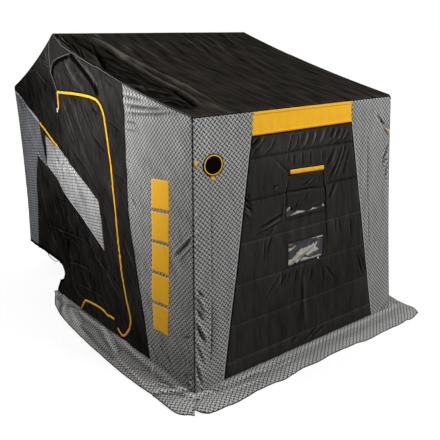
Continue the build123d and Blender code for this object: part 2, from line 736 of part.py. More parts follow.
def tie_tabs():
    """Short webbing tabs that the hut's guy lines tie to."""
    tabs = []
    for x, drop in TAB_PLACES:
        shape = Pos(x, FRONT_EAVE_HEIGHT - drop) * Rot(0, 0, 90) * SlotOverall(TAB_LENGTH, TAB_WIDTH)
        tabs.append(extrude(front_face() * shape, amount=TAPE))
    return Compound(children=tabs)


def front_patch():
    """A plain round patch on the left front panel."""
    disc = Pos(PATCH_ACROSS, FRONT_EAVE_HEIGHT - PATCH_DROP) * Circle(PATCH_RADIUS)
    return extrude(front_face() * disc, amount=TAPE)


def cord_and_sleeves():
    """The elastic cord that hangs in a low loop under the left hem, and its two sewn-in sleeves."""
    places = [(NOTCH_TOP_SETBACK + back, REAR_HEM_HEIGHT + up) for back, up in CORD_POINTS]
    x = -half_width(*places[0], -FABRIC) + SLEEVE_RADIUS + CLEARANCE
    points = [Vector(x, y, z) for y, z in places]
    radii = []
    for before, point, after in zip(points, points[1:], points[2:]):
        turn = math.radians((point - before).get_angle(after - point))
        shorter = min((point - before).length, (after - point).length)
        radii.append(0.45 * shorter / math.tan(turn / 2))
    print("hem cord bend radii", [round(radius) for radius in radii])
    path = FilletPolyline(*points, radius=radii)
    print("hem cord length", round(path.length, 1))
    cord = sweep(Plane(origin=path @ 0, z_dir=path % 0) * Circle(CORD_RADIUS), path=path)
    sleeves = []
    for point, inward in ((points[0], points[0] - points[1]), (points[-1], points[-1] - points[-2])):
        section = Plane(origin=point, z_dir=inward.normalized()) * Circle(SLEEVE_RADIUS)
        sleeves.append(extrude(section, amount=SLEEVE_LENGTH))
    return cord, Compound(children=sleeves)


def build():
    walls = cross_walls()
    parts = {"roof_front": walls["roof_front"], "roof_rear": walls["roof_rear"]}
    parts.update(front_panels(walls["front"]))
    parts["window_strip"] = window_strip()
    parts.update(side_panels())
    parts.update(rear_panels(walls["rear"]))
    parts.update(skirts())
    parts.update(frame())
    parts["tie_tabs"] = tie_tabs()
    parts["front_patch"] = front_patch()
    parts["hem_cord"], parts["hem_cord_sleeves"] = cord_and_sleeves()
    return parts


def main():
    parts = build()
    front = min(part.bounding_box().min.Y for part in parts.values())
    back = max(part.bounding_box().max.Y for part in parts.values())
    to_middle = Pos(0, -(front + back) / 2, 0)
    print("front eave lies at Y =", round(-(front + back) / 2, 2))
    os.makedirs("parts", exist_ok=True)
    for name, part in parts.items():
        solids = [to_middle * solid for solid in part.solids()]
        shape = solids[0] if len(solids) == 1 else Compound(children=solids)
        export_step(shape, f"parts/{name}.step")


main()
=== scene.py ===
"""The looks of the ice fishing hut: cloth with its folds and seams, zips, windows, trim and the stage."""

import math

import bpy
import numpy as np
from mathutils import Matrix, Vector
from mathutils.geometry import delaunay_2d_cdt


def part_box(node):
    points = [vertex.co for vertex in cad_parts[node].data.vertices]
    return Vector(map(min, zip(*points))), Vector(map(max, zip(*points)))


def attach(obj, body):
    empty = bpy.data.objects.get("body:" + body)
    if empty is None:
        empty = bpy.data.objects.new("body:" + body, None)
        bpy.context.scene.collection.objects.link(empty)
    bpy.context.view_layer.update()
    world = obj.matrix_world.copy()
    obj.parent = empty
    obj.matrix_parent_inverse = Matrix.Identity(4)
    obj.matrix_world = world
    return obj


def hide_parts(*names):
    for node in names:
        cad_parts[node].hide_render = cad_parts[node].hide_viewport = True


bl_info = {
    "name": "Ice fishing hut",
    "version": (1, 0, 0),
    "blender": (4, 5, 0),
    "location": "View3D > Sidebar > Ice hut",
    "description": "Dresses the solids of an ice fishing hut with cloth, zips, windows and trim",
    "category": "Add Mesh",
}

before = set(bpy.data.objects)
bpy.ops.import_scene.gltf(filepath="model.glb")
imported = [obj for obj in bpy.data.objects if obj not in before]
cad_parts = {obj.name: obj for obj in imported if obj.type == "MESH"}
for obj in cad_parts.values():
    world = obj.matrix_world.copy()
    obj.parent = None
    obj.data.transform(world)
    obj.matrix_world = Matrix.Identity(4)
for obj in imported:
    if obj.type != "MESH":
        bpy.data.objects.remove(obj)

# Places are in millimetres: X to the right, Y back from the front eave, Z up. A place on a side is
# (Y, Z), one on the front or rear wall is (X, Z), and one on a roof or skirt is (X, Y).
SKIRT_AHEAD = 219  # how far the front skirt reaches ahead of the front eave
EAVE_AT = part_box("front_skirt")[0].y * 1000 + SKIRT_AHEAD
FOOT, EAVE, RIDGE, REAR_EAVE, REAR_HEM = (-43, 0), (0, 1326), (1331, 1700), (2136, 1358), (2020, 256)
HALF_WIDTHS = {FOOT: 764, EAVE: 700, RIDGE: 727, REAR_EAVE: 700, REAR_HEM: 749}
CORNER_ROUND = 9.0  # how far the cloth rounds over where a side meets the roof or a wall
BOW_ROUND = 19.0  # and where it turns over a bow
LEAN = math.hypot(1, FOOT[0] / EAVE[1])  # length up the leaning front wall for each millimetre of height
BANNER_FOOT = 1206
CENTER_TOP, CENTER_FOOT = 361, 582  # half widths of the quilted panel
BANNER_TOP = 347  # half width of the banner at the eave
REAR_HALF = 470  # half width of the rear wall's dark middle
FEET = -FOOT[0]  # how far the walls' feet stand ahead of the eave
HELD = 34.0  # how far from the bows the cloth lies close to them
SKIRT_WIDTH = 176
LAP = (838, 1328)  # where the roof laps over the sides, in Y
HEM_TAPE = 18
CLOTH, SKIRT_CLOTH, FILM = 4.5, 3.0, 0.8  # thicknesses
FILM_STEP = 3.4
ZIP_TAPE, ZIP_BAND = 26.0, 15.0

# Folds by surface: (height, width): lines along them. A height under 0 is a hollow.
SIDE_FOLDS = {
    (-2, 16): [[(1390, 1464), (1374, 1492), (1340, 1520), (1270, 1546), (1165, 1569), (1112, 1577)]],
    (-1, 14): [
        [(1118, 1576), (1066, 1552), (1009, 1518), (958, 1488), (908, 1458), (866, 1425), (826, 1385)],
    ],
    (12, 32): [[(1195, 1562), (1109, 1494), (1030, 1436), (960, 1390)]],
    (5, 6): [
        [(1085, 1588), (1023, 1552), (964, 1520), (886, 1474), (830, 1428)], [(1259, 1589), (1322, 1573)],
        [(1335, 1505), (1326, 1444), (1310, 1385)],
        [(1736, 1495), (1600, 1451), (1483, 1405), (1390, 1362)],
    ],
    (4, 8): [
        [(1081, 1567), (1039, 1534), (962, 1479)], [(1284, 1506), (1266, 1447), (1258, 1385)],
        [(1234, 1487), (1162, 1431), (1122, 1391)], [(1001, 1493), (909, 1444), (858, 1413)],
        [(845, 1483), (856, 1439), (836, 1396)], [(800, 1484), (773, 1446), (761, 1407)],
        [(1524, 1583), (1496, 1538)], [(1471, 1608), (1456, 1555)],
        [(1249, 1323), (1166, 1240), (1105, 1152)], [(1021, 1345), (976, 1294), (924, 1233), (889, 1175)],
        [(1168, 1340), (1119, 1295)], [(1732, 777), (1678, 636), (1629, 500)],
        [(1560, 806), (1512, 650), (1424, 527)], [(1303, 606), (1234, 525)], [(1732, 897), (1661, 717)],
        [(1643, 462), (1411, 478), (1120, 495), (1045, 482)],
        [(1404, 456), (1227, 444), (1165, 392), (1112, 351)],
        [(1213, 657), (1134, 594), (1047, 535), (953, 480)], [(1570, 356), (1487, 309), (1426, 276)],
    ],
    (-5, 7): [
        [(1259, 1510), (1187, 1449), (1103, 1390)],
        [(1194, 1519), (1137, 1467), (1074, 1415), (1040, 1392)], [(1007, 1515), (947, 1469)],
        [(816, 1476), (804, 1426), (814, 1390)], [(750, 1471), (653, 1426)], [(1210, 1612), (1267, 1594)],
        [(1608, 1540), (1549, 1521), (1420, 1497)], [(1055, 1346), (1010, 1291), (966, 1229), (931, 1170)],
        [(1270, 1317), (1223, 1247), (1172, 1145)], [(932, 1348), (879, 1319), (827, 1301)],
        [(1013, 1345), (923, 1252), (873, 1176)], [(1547, 700), (1405, 690), (1308, 695)],
        [(1654, 464), (1567, 372), (1435, 283)], [(1165, 587), (1034, 494), (934, 424)],
        [(1353, 440), (1236, 451), (1139, 367)], [(1084, 481), (1000, 406), (953, 348)],
    ],
    (-10, 22): [[(894, 1304), (832, 1268)]],
    (-3, 8): [
        [(714, 1241), (608, 1199)], [(544, 1071), (497, 1039)], [(540, 1019), (498, 993)],
        [(1255, 1533), (1139, 1433), (1011, 1379)],
    ],
    (-7, 14): [[(1314, 1309), (1214, 1137), (1151, 1068)]],
    (5, 12): [
        [(1266, 1330), (1163, 1187), (1099, 1075)], [(1135, 1351), (1056, 1219), (967, 1091)],
        [(1056, 1343), (991, 1254), (912, 1148)],
    ],
    (4, 9): [
        [(1318, 1684), (1245, 1629)], [(1270, 1671), (1207, 1628)],
        [(1645, 1547), (1474, 1509), (1410, 1506)], [(1601, 1552), (1457, 1527)],
        [(1859, 1446), (1673, 1476)],
    ],
    (-4, 9): [[(1730, 1484), (1531, 1416), (1393, 1363)]],
    (4, 12): [
        [(2106, 1365), (1867, 1337)], [(1980, 1264), (1767, 1007)],
        [(1391, 1023), (1406, 881), (1391, 834)], [(1356, 1022), (1303, 878)],
        [(1323, 1017), (1248, 938), (1190, 896)], [(1281, 1004), (1111, 867)],
        [(1298, 203), (1239, 113), (1146, 93)], [(1131, 271), (1038, 201), (893, 142)],
        [(962, 437), (804, 370), (695, 283), (668, 261)], [(1334, 289), (1136, 313), (1001, 310)],
        [(1229, 173), (1063, 182), (909, 185)],
    ],
    (-5, 14): [
        [(2025, 1282), (1690, 1171)], [(2069, 1310), (1833, 1061)], [(1918, 1029), (1749, 947)],
        [(563, 1390), (463, 1386), (363, 1377)], [(464, 1368), (352, 1363), (226, 1356)],
        [(550, 1261), (450, 1258)], [(552, 1217), (450, 1220)],
    ],
    (4, 10): [[(1866, 1051), (1647, 905)], [(1731, 959), (1578, 869)]],
    (3, 9): [[(1643, 497), (1571, 471)], [(1629, 435), (1499, 324)], [(1517, 489), (1398, 475)]],
    (-5, 12): [
        [(34, 54), (-7, 47)], [(14, 24), (-28, 28)], [(1278, 1143), (1188, 1039), (1001, 926), (786, 770)],
        [(1179, 1153), (1102, 1050), (1031, 993)], [(1138, 1149), (994, 971)],
        [(936, 1178), (835, 1113), (771, 1075)], [(851, 757), (764, 642), (696, 540)],
        [(1388, 274), (1279, 169), (1120, 107)],
        [(1191, 264), (1072, 201), (932, 171), (811, 128), (733, 104)],
        [(1021, 484), (906, 375), (795, 270), (758, 241)], [(994, 522), (855, 457), (743, 378), (617, 309)],
        [(41, 211), (1, 192)], [(41, 260), (2, 288)],
    ],
    (-3, 9): [
        [(679, 985), (628, 903), (561, 857)], [(680, 977), (566, 938)], [(809, 1137), (771, 1075)],
        [(474, 971), (404, 933)], [(517, 880), (452, 830)], [(518, 827), (479, 794), (459, 784)],
    ],
    (-4, 11): [
        [(667, 552), (600, 480), (520, 380), (483, 296)], [(605, 621), (541, 544), (477, 469)],
        [(589, 406), (526, 310), (424, 152)], [(562, 98), (494, 49), (417, 16)],
    ],
    (3, 11): [
        [(554, 398), (474, 299), (429, 199)], [(465, 510), (411, 443), (350, 370)], [(385, 99), (275, 19)],
    ],
    (-10, 15): [
        [(553, 1343), (408, 1344), (277, 1341), (185, 1342)],
        [(543, 1300), (353, 1312), (221, 1325), (102, 1337)],
    ],
    (6, 16): [[(576, 1367), (246, 1361)], [(554, 1321), (170, 1336)], [(569, 1408), (351, 1389)]],
    (6, 14): [
        [(13, 53), (-29, 46)], [(1, 7), (-36, 51)], [(146, 655), (68, 727), (-6, 799)],
        [(95, 651), (36, 705), (-6, 753)],
    ],
    (-7, 12): [[(124, 661), (47, 733), (-6, 780)]],
    (5, 14): [[(47, 138), (0, 113)], [(14, 161), (-20, 135)], [(20, 59), (-21, 78), (-34, 57)]],
    (-4, 14): [[(364, 106), (294, 39), (207, 19), (73, -22)], [(264, 143), (211, 104), (144, 67)]],
}
FRONT_FOLDS = {
    (-6, 11): [
        [(-316, 1197), (-352, 1165), (-369, 1137)], [(-280, 1190), (-317, 1157), (-365, 1106)],
        [(-216, 1173), (-240, 1135), (-284, 1106)], [(-106, 1161), (-126, 1103)],
        [(-51, 1180), (-61, 1134), (-91, 1099)], [(-26, 1188), (-41, 1132), (-71, 1097)],
        [(35, 1188), (10, 1133), (-26, 1095)], [(93, 1190), (67, 1138), (41, 1100)],
        [(166, 1194), (131, 1140), (115, 1110)], [(251, 1175), (213, 1133), (165, 1106)],
        [(297, 1166), (263, 1125), (219, 1100)], [(337, 1160), (297, 1120), (252, 1102)],
        [(-95, 1190), (-106, 1161)], [(210, 1190), (176, 1140)],
    ],
    (5, 12): [
        [(-299, 1190), (-338, 1150)], [(6, 1188), (-20, 1120)], [(64, 1188), (38, 1112)],
        [(130, 1190), (92, 1120)], [(228, 1188), (192, 1124)], [(274, 1184), (238, 1122)],
        [(318, 1180), (276, 1124)], [(296, 1089), (232, 971), (193, 913)],
        [(324, 1080), (276, 990), (244, 925)], [(236, 1087), (206, 1030), (176, 985)],
        [(247, 886), (208, 840), (188, 812)],
    ],
    (-5, 11): [
        [(-121, 1096), (-131, 1044)], [(-81, 1090), (-89, 1027)], [(-21, 1090), (-26, 1019)],
        [(36, 1094), (31, 1014)], [(131, 1085), (121, 1020)], [(213, 1088), (192, 1049), (149, 990)],
        [(275, 1084), (254, 1022), (199, 953), (166, 904)],
        [(310, 1091), (299, 1043), (244, 962), (211, 913)], [(345, 1076), (312, 995), (291, 924)],
        [(223, 888), (195, 845), (173, 814)], [(-234, 924), (-224, 940), (-196, 946)],
    ],
    (-2, 9): [[(-220, 1084), (-124, 996)], [(-308, 957), (-300, 930)], [(145, 1089), (139, 1028)]],
    (-3, 9): [[(-125, 936), (-119, 883)], [(-615, 927), (-625, 736), (-635, 508)]],
    (-4, 10): [[(-407, 940), (-382, 903)], [(-420, 881), (-373, 848)], [(-418, 922), (-393, 889)]],
    (4, 9): [
        [(-11, 918), (32, 942)], [(14, 918), (51, 930)], [(-90, 799), (-60, 834)], [(-60, 794), (-30, 828)],
    ],
    (-4, 12): [
        [(-168, 793), (-329, 750)], [(-410, 915), (-373, 862)], [(-417, 896), (-374, 837)],
        [(-183, 758), (-351, 718)], [(-241, 694), (-270, 636)], [(-21, 30), (94, 80)],
        [(52, 37), (145, 70)], [(-117, 50), (-69, 77)],
    ],
    (3, 12): [[(-169, 777), (-323, 728)], [(-425, 857), (-381, 813)], [(-212, 747), (-255, 692)]],
    (-3, 11): [
        [(-290, 684), (-307, 569)], [(-255, 681), (-285, 596)], [(236, 698), (230, 605)],
        [(261, 699), (272, 596)], [(358, 663), (370, 545)], [(-172, 479), (-188, 393)],
        [(-113, 487), (-144, 415)], [(-67, 470), (-83, 398)], [(-21, 470), (-29, 396)],
        [(-143, 472), (-240, 373)], [(-202, 464), (-305, 357)], [(157, 431), (226, 340)],
        [(428, 427), (480, 293)], [(456, 433), (508, 305)], [(50, 440), (27, 369)],
        [(124, 439), (141, 338)],
    ],
    (4, 14): [[(-21, 429), (-13, 320), (-9, 138)]],
    (-7, 14): [[(618, 1189), (699, 1124)], [(571, 1226), (650, 1167)]],
    (6, 14): [[(642, 1168), (704, 1100)], [(708, 1027), (677, 957), (661, 906)], [(708, 904), (693, 816)]],
    (-6, 16): [[(703, 1052), (660, 979), (648, 932)], [(693, 955), (683, 858)]],
    (-3, 12): [[(499, 1122), (508, 932), (522, 686)], [(525, 712), (535, 559), (544, 455)]],
    (-8, 20): [[(738, 53), (666, -4), (600, 5)]],
    (7, 14): [
        [(-726, 872), (-689, 897)], [(-726, 802), (-694, 812)], [(-729, 750), (-697, 759)],
        [(-735, 525), (-708, 479), (-689, 438), (-670, 404)],
        [(-741, 412), (-719, 350), (-698, 306), (-676, 262)],
        [(-741, 323), (-729, 251), (-709, 187), (-690, 130)], [(-746, 203), (-733, 142), (-715, 84)],
        [(-752, 100), (-742, 50), (-728, 14)],
    ],
    (-10, 12): [
        [(-717, 525), (-688, 478)], [(-741, 366), (-713, 305), (-688, 240)],
        [(-742, 458), (-715, 410), (-690, 356)], [(-740, 262), (-727, 226), (-697, 136)],
        [(-752, 190), (-738, 98), (-712, 19)],
    ],
    (-6, 9): [[(-636, 470), (-640, 369), (-645, 289), (-655, 181), (-668, 110)]],
}
ROOF_FOLDS = {
    (14, 26): [[(-533, 1275), (-441, 633), (-431, 168)]],
    (12, 22): [[(-514, 1279), (-504, 873), (-505, 509), (-528, 200)]],
    (-14, 24): [
        [(-529, 1145), (-522, 741), (-516, 444), (-591, 115)], [(-640, 1196), (-629, 985), (-688, 781)],
    ],
    (8, 10): [
        [(-669, 1191), (-705, 1035), (-734, 932)], [(-679, 1068), (-697, 1000), (-727, 925)],
        [(-704, 1312), (-712, 1230), (-716, 1160)],
    ],
    (-7, 11): [
        [(-684, 1180), (-718, 1010), (-740, 945)], [(-690, 1060), (-716, 965)],
        [(-690, 1320), (-702, 1200)], [(-617, 1023), (-670, 863), (-673, 767)],
    ],
    (6, 12): [
        [(-625, 848), (-602, 752), (-572, 693)], [(-524, 955), (-502, 853)],
        [(-679, 457), (-606, 396), (-564, 326)], [(-674, 348), (-601, 274), (-591, 156)],
        [(-723, 545), (-659, 469), (-628, 400)],
    ],
    (-5, 10): [
        [(-698, 764), (-627, 665), (-568, 553)], [(-718, 432), (-642, 341), (-604, 216)],
        [(-549, 1213), (-627, 965)],
    ],
    (-4, 12): [
        [(-372, 1047), (-398, 669), (-409, 360)], [(-371, 1249), (-352, 960)],
        [(-21, 1233), (-79, 807), (-84, 627)],
    ],
    (3, 12): [
        [(-283, 1245), (-287, 891)], [(-124, 1262), (-145, 877)], [(136, 1277), (88, 920)],
        [(265, 1272), (238, 1047)],
    ],
    (5, 14): [
        [(-717, 360), (-677, 291), (-636, 282)], [(-706, 246), (-639, 257), (-634, 156)],
        [(-727, 555), (-667, 516), (-670, 423)],
    ],
    (-8, 16): [[(-380, 571), (-416, 396), (-420, 212)]],
    (8, 22): [[(-491, 608), (-497, 391), (-540, 135)]],
    (4, 12): [
        [(549, 1292), (544, 1008), (583, 858)], [(632, 1094), (689, 907), (703, 676)],
        [(518, 1326), (428, 1046)], [(333, 1236), (267, 971)], [(215, 1180), (116, 874)],
    ],
    (-3, 12): [
        [(406, 1048), (498, 866), (583, 663)], [(-32, 888), (5, 732)],
        [(-397, 392), (-405, 316), (-426, 173)],
    ],
}
SKIRT_FOLDS = {
    (7, 20): [[(-774, 893), (-825, 705), (-870, 545)], [(-818, 1249), (-875, 1021)]],
    (5, 14): [
        [(-557, -98), (-433, -93), (-311, -119)], [(-321, -130), (-163, -124)],
        [(-808, 1269), (-855, 1058), (-883, 948)], [(-782, 306), (-836, 229)], [(-895, 152), (-822, 91)],
        [(-766, 1390), (-729, 1502)], [(-840, 1374), (-797, 1519)],
        [(-850, -40), (-800, -75), (-770, -110)], [(-740, -12), (-792, 26), (-847, 50), (-900, 76)],
        [(-892, 486), (-904, 337), (-919, 155)], [(-826, 172), (-797, 54)],
    ],
    (6, 22): [
        [(-802, 867), (-839, 674), (-871, 524)], [(-763, 1399), (-862, 1241), (-906, 1058)],
        [(-763, 671), (-792, 487), (-798, 353)], [(-700, -135), (-560, -150), (-420, -165)],
    ],
    (-6, 22): [
        [(-801, 1287), (-768, 1123), (-765, 938), (-748, 771)], [(-834, 1335), (-935, 1153)],
        [(-871, 993), (-892, 780)], [(-742, -30), (-828, 5), (-888, 52), (-940, 64)],
        [(-742, -32), (-700, -66)], [(-798, 1514), (-735, 1494)],
    ],
    (-5, 16): [
        [(-740, -28), (-828, 7), (-888, 57), (-950, 68)], [(-740, -28), (-699, -62)],
        [(-756, -40), (-861, -172)],
    ],
    (-5, 14): [
        [(-781, 1285), (-815, 1075), (-855, 973)], [(-762, 862), (-820, 606), (-868, 508)],
        [(-931, 356), (-876, 323), (-820, 263)], [(-842, 164), (-821, 101), (-793, 66)],
        [(-862, 31), (-801, -3), (-746, -22)], [(-875, 69), (-851, 38)], [(-838, 1334), (-762, 1489)],
        [(-850, -136), (-861, -166)], [(-776, 1543), (-725, 1542)], [(-737, -32), (-728, -68)],
        [(-721, -64), (-660, -105)],
    ],
}
# Wide patches of painted shade, or of painted light where the amount is above 0: (middle, reach, amount).
SIDE_SHADES = (
    ((1760, 1300), (300, 150), -0.6), ((1420, 1250), (90, 260), -0.35), ((1445, 1560), (60, 100), 0.5),
    ((1340, 1630), (60, 50), 0.3), ((900, 1250), (130, 170), 0.15), ((60, 1230), (140, 190), 0.75),
    ((450, 1420), (170, 130), 0.4), ((1130, 470), (420, 330), -0.45), ((1500, 430), (260, 330), -0.4),
    ((500, 60), (160, 110), -0.3), ((1540, 1000), (160, 90), -0.35),
)
FRONT_SHADES = (
    ((-60, 1130), (340, 90), 0.4), ((-60, 250), (420, 300), -0.2), ((-640, 1240), (140, 160), 0.55),
    ((620, 1240), (110, 150), 0.35), ((330, 420), (190, 420), -0.25), ((-100, 200), (330, 160), -0.1),
    ((-640, 330), (50, 260), -0.2),
)
# Narrow lines of painted shade, and of painted highlight where the amount is above 0, on the sides and
# skirts: (line, width, amount).
SIDE_SHADE_STROKES = (
    (
        ((1118, 1578), (1066, 1554), (1009, 1520), (958, 1490), (908, 1460), (866, 1427), (826, 1387)),
        13,
        -2.4,
    ),
    (((1386, 1470), (1370, 1500), (1338, 1524), (1270, 1548), (1170, 1569)), 12, -2.0),
    (((1080, 1592), (1015, 1556), (955, 1524), (880, 1478), (826, 1434)), 7, 1.4),
    (((1150, 1560), (1075, 1512), (1005, 1470)), 9, 0.8),
    (((13, 56), (-34, 48)), 7, 1.6),
    (((4, 8), (-38, 50)), 7, 1.6),
    (((34, 66), (-7, 62)), 8, -1.6),
    (((16, 28), (-24, 32)), 8, -1.6),
)
SKIRT_SHADE_STROKES = (
    (((-744, -30), (-828, 5), (-888, 52), (-940, 64)), 9, -1.9),
    (((-742, -34), (-700, -68), (-640, -84)), 8, -1.7),
    (((-742, -8), (-792, 32), (-847, 58), (-900, 84)), 8, 1.2),
    (((-801, 1287), (-770, 1123), (-772, 938), (-762, 771)), 14, -1.2),
    (((-838, 1300), (-868, 1120), (-884, 1000)), 12, 1.0),
    (((-880, 900), (-905, 700), (-912, 500)), 12, -0.9),
)
# Painted shade on the roof, and painted light where the amount is above 0: (middle, reach, amount).
ROOF_SHADES = (
    ((-600, 640), (85, 430), -0.2), ((-482, 640), (36, 700), 0.35), ((-450, 1080), (110, 200), 0.2),
    ((200, 250), (420, 260), -0.1),
)
# A field of painted shade with a crisp edge along the roof's left side.
ROOF_PAINTED_SHADE = [(-760, 1330), (-640, 1290), (-555, 1262), (-534, 1131), (-510, 960), (-518, 757), (-512, 600)]
ROOF_PAINTED_SHADE += [(-514, 415), (-530, 246), (-565, 100), (-760, 60)]
UPPER_CRINKLES = {
    (3, 10): [[(-147, 805), (-114, 814)], [(10, 771), (49, 778), (80, 772)]],
}
LOWER_CRINKLES = {
    (5, 12): [[(-133, 507), (-82, 542), (-29, 575)], [(-105, 519), (-52, 541), (10, 560), (82, 590)]],
    (-4, 8): [[(-40, 516), (4, 532)], [(20, 519), (70, 538)], [(-120, 575), (-60, 560)]],
}
# Where the film bows to the light: its reflection there is painted pale into its colour.
UPPER_PAINTED_GLARE = (
    [(-148, 802), (-118, 820), (-112, 816), (-146, 791)],
    [(-150, 769), (-112, 774), (-72, 786), (-40, 786), (-6, 776), (-30, 772), (-80, 771), (-120, 768)],
    [(10, 770), (40, 787), (62, 786), (84, 776), (60, 777), (35, 774), (20, 768)],
    [(116, 799), (123, 800), (142, 776), (136, 774)],
)
LOWER_PAINTED_GLARE = (
    [(-135, 580), (-131, 596), (-110, 595), (-82, 604), (-75, 603), (-110, 586)],
    [(-135, 505), (-131, 534), (-113, 533), (-85, 547), (-42, 578), (-32, 577), (-8, 575), (16, 577)]
    + [(46, 581), (53, 589), (66, 580), (76, 591), (86, 586), (71, 564), (99, 545), (66, 536), (36, 529)]
    + [(17, 524), (-3, 538), (-37, 528), (-52, 512), (-56, 500), (-83, 512), (-95, 503)],
    [(-42, 507), (-35, 517), (-18, 524), (9, 516), (51, 510), (89, 511), (119, 509), (125, 500)]
    + [(99, 500), (56, 500), (2, 504), (-27, 503)],
    [(-134, 615), (-42, 617), (14, 618), (134, 609), (134, 616), (14, 622), (-42, 622), (-134, 621)],
)
FLAP = [
    (120, 976), (131, 905), (141, 850), (143, 806), (136, 806), (118, 793), (96, 781), (70, 786), (45, 790),
    (20, 778), (0, 781), (-20, 788), (-60, 793), (-84, 790), (-104, 798), (-114, 823), (-146, 826),
    (-124, 976),
]
FLAP_FOLDS = {
    (-3, 7): [
        [(-36, 917), (-13, 919), (13, 935), (40, 943)], [(40, 919), (59, 932)], [(-45, 966), (-48, 946)],
        [(-24, 964), (-34, 946)], [(4, 875), (-8, 852), (-17, 835)], [(-69, 840), (-88, 810)],
        [(100, 960), (92, 915)],
    ],
    (3, 8): [
        [(-8, 909), (16, 925), (49, 940)], [(-50, 840), (-74, 809), (-92, 792)], [(70, 905), (88, 935)],
        [(30, 800), (90, 812)],
    ],
    (-4, 9): [[(-132, 898), (-73, 893), (13, 894), (81, 888), (136, 882)]],
}


# --- The hut's form


def facet(*corners):
    """A flat facet of a side through three corners: half width = a + b Y + c Z, as (a, b, c)."""
    rows = [[1, y, z] for y, z in corners]
    return np.linalg.solve(np.array(rows, float), [HALF_WIDTHS[corner] for corner in corners])


FACETS = (facet(FOOT, EAVE, RIDGE), facet(FOOT, RIDGE, REAR_HEM), facet(RIDGE, REAR_EAVE, REAR_HEM))


def half_width(y, z):
    return np.min([a + b * y + c * z for a, b, c in FACETS], axis=0)


def hanging(start, end, sag):
    """Points from start to end on a shallow curve that hangs in by sag."""
    start, end = np.array(start, float), np.array(end, float)
    t = np.linspace(0, 1, 300)[:, None]
    along = (end - start) / np.linalg.norm(end - start)
    inward = np.array([along[1], -along[0]])
    return start + t * (end - start) + inward * sag * 4 * t * (1 - t)


def rounded(runs, radius):
    """Runs of points joined into one line, with a rounding at each joint."""
    line = runs[0]
    for run in runs[1:]:
        corner = run[0]
        arriving, leaving = corner - line[-2], run[1] - corner
        turn = math.atan2(abs(arriving[0] * leaving[1] - arriving[1] * leaving[0]), arriving @ leaving)
        reach = radius * math.tan(turn / 2)
        line = line[np.linalg.norm(line - corner, axis=1) > reach]
        run = run[np.linalg.norm(run - corner, axis=1) > reach]
        t = np.linspace(0, 1, 9)[1:-1, None]
        curve = (1 - t) ** 2 * line[-1] + 2 * t * (1 - t) * corner + t**2 * run[0]
        line = np.vstack([line, curve, run])
    return line


def lengths_along(line):
    return np.concatenate([[0], np.cumsum(np.linalg.norm(np.diff(line, axis=0), axis=1))])


PROFILE = rounded(
    [
        hanging(FOOT, EAVE, 0),
        hanging(EAVE, RIDGE, 34),
        hanging(RIDGE, REAR_EAVE, 32),
        hanging(REAR_EAVE, REAR_HEM, 24),
    ],
    BOW_ROUND,
)
PROFILE_RUN = lengths_along(PROFILE)
PROFILE_OUT = np.gradient(PROFILE, PROFILE_RUN, axis=0)[:, ::-1] * [-1, 1]
PROFILE_OUT = PROFILE_OUT / np.linalg.norm(PROFILE_OUT, axis=1)[:, None]


def profile_at(run):
    """The outline's points and outward directions at lengths along it from the front foot."""
    point = [np.interp(run, PROFILE_RUN, PROFILE[:, k]) for k in (0, 1)]
    out = [np.interp(run, PROFILE_RUN, PROFILE_OUT[:, k]) for k in (0, 1)]
    return np.stack(point, -1), np.stack(out, -1)


def width_at(run):
    """Half the hut's width at lengths along its outline."""
    point, _ = profile_at(run)
    return half_width(point[:, 0], point[:, 1])


ROOF_PART = PROFILE[:, 1] > 1345
FRONT_SEAM = 1320 * LEAN
RIDGE_SEAM = float(np.interp(RIDGE[0], PROFILE[ROOF_PART, 0], PROFILE_RUN[ROOF_PART]))
REAR_PART = (PROFILE[:, 0] > 1990) & (PROFILE_RUN > RIDGE_SEAM + 800)
REAR_SEAM = float(np.interp(-1342, -PROFILE[REAR_PART, 1], PROFILE_RUN[REAR_PART]))
HEM_RUN = PROFILE_RUN[-1]


def run_of_front(z):
    return np.asarray(z, float) * LEAN


def run_of_roof(y):
    return np.interp(y, PROFILE[ROOF_PART, 0], PROFILE_RUN[ROOF_PART])


def smooth_step(value):
    value = np.clip(value, 0, 1)
    return value * value * (3 - 2 * value)


def settled(points):
    """The uneven hang of the whole shell: slack on the left of the roof, taut on its right."""
    x, y, z = points[..., 0], points[..., 1], points[..., 2]
    run = run_of_roof(y)
    top = np.interp(run, PROFILE_RUN, PROFILE[:, 1])
    near_roof = smooth_step(1 - np.maximum(top - z, 0) / 260)
    front = np.clip(y / RIDGE[0], 0, 1)
    rear = np.clip((y - RIDGE[0]) / (REAR_EAVE[0] - RIDGE[0]), 0, 1)
    lean = np.clip(x / 700, -1, 1)
    lift = 4 * front * (1 - front) * (4 + 12 * lean) + 4 * rear * (1 - rear) * 10
    up = np.clip(z / EAVE[1], 0, 1)
    hollow = 4 * up * (1 - up) * smooth_step(1 - np.abs(y) / 260) * smooth_step((x - 450) / 250)
    back = REAR_HEM[0] + (z - REAR_HEM[1]) * (REAR_EAVE[0] - REAR_HEM[0]) / (REAR_EAVE[1] - REAR_HEM[1])
    high = np.clip((z - REAR_HEM[1]) / (REAR_EAVE[1] - REAR_HEM[1]), 0, 1)
    slump = 4 * high * (1 - high) * smooth_step(1 - (back - y) / 300)
    return np.stack([x - 13 * hollow, y - 14 * slump, z + lift * near_roof], -1)


def placed(points):
    """Millimetres from the front eave, as metres in the row's frame."""
    return (np.asarray(points, float) + [0, EAVE_AT, 0]) / 1000


# --- Lines and small random shapes


def curved(points, step=8.0):
    """A smooth line through points."""
    p = np.array(points, float)
    p = np.vstack([2 * p[0] - p[1], p, 2 * p[-1] - p[-2]])
    line = []
    for a, b, c, d in zip(p, p[1:], p[2:], p[3:]):
        count = max(1, int(np.linalg.norm(c - b) / step))
        t = np.arange(count)[:, None] / count
        line.append(
            0.5 * (2 * b + (c - a) * t + (2 * a - 5 * b + 4 * c - d) * t**2 + (3 * b - 3 * c + d - a) * t**3)
        )
    return np.vstack([*line, p[-2:-1]])


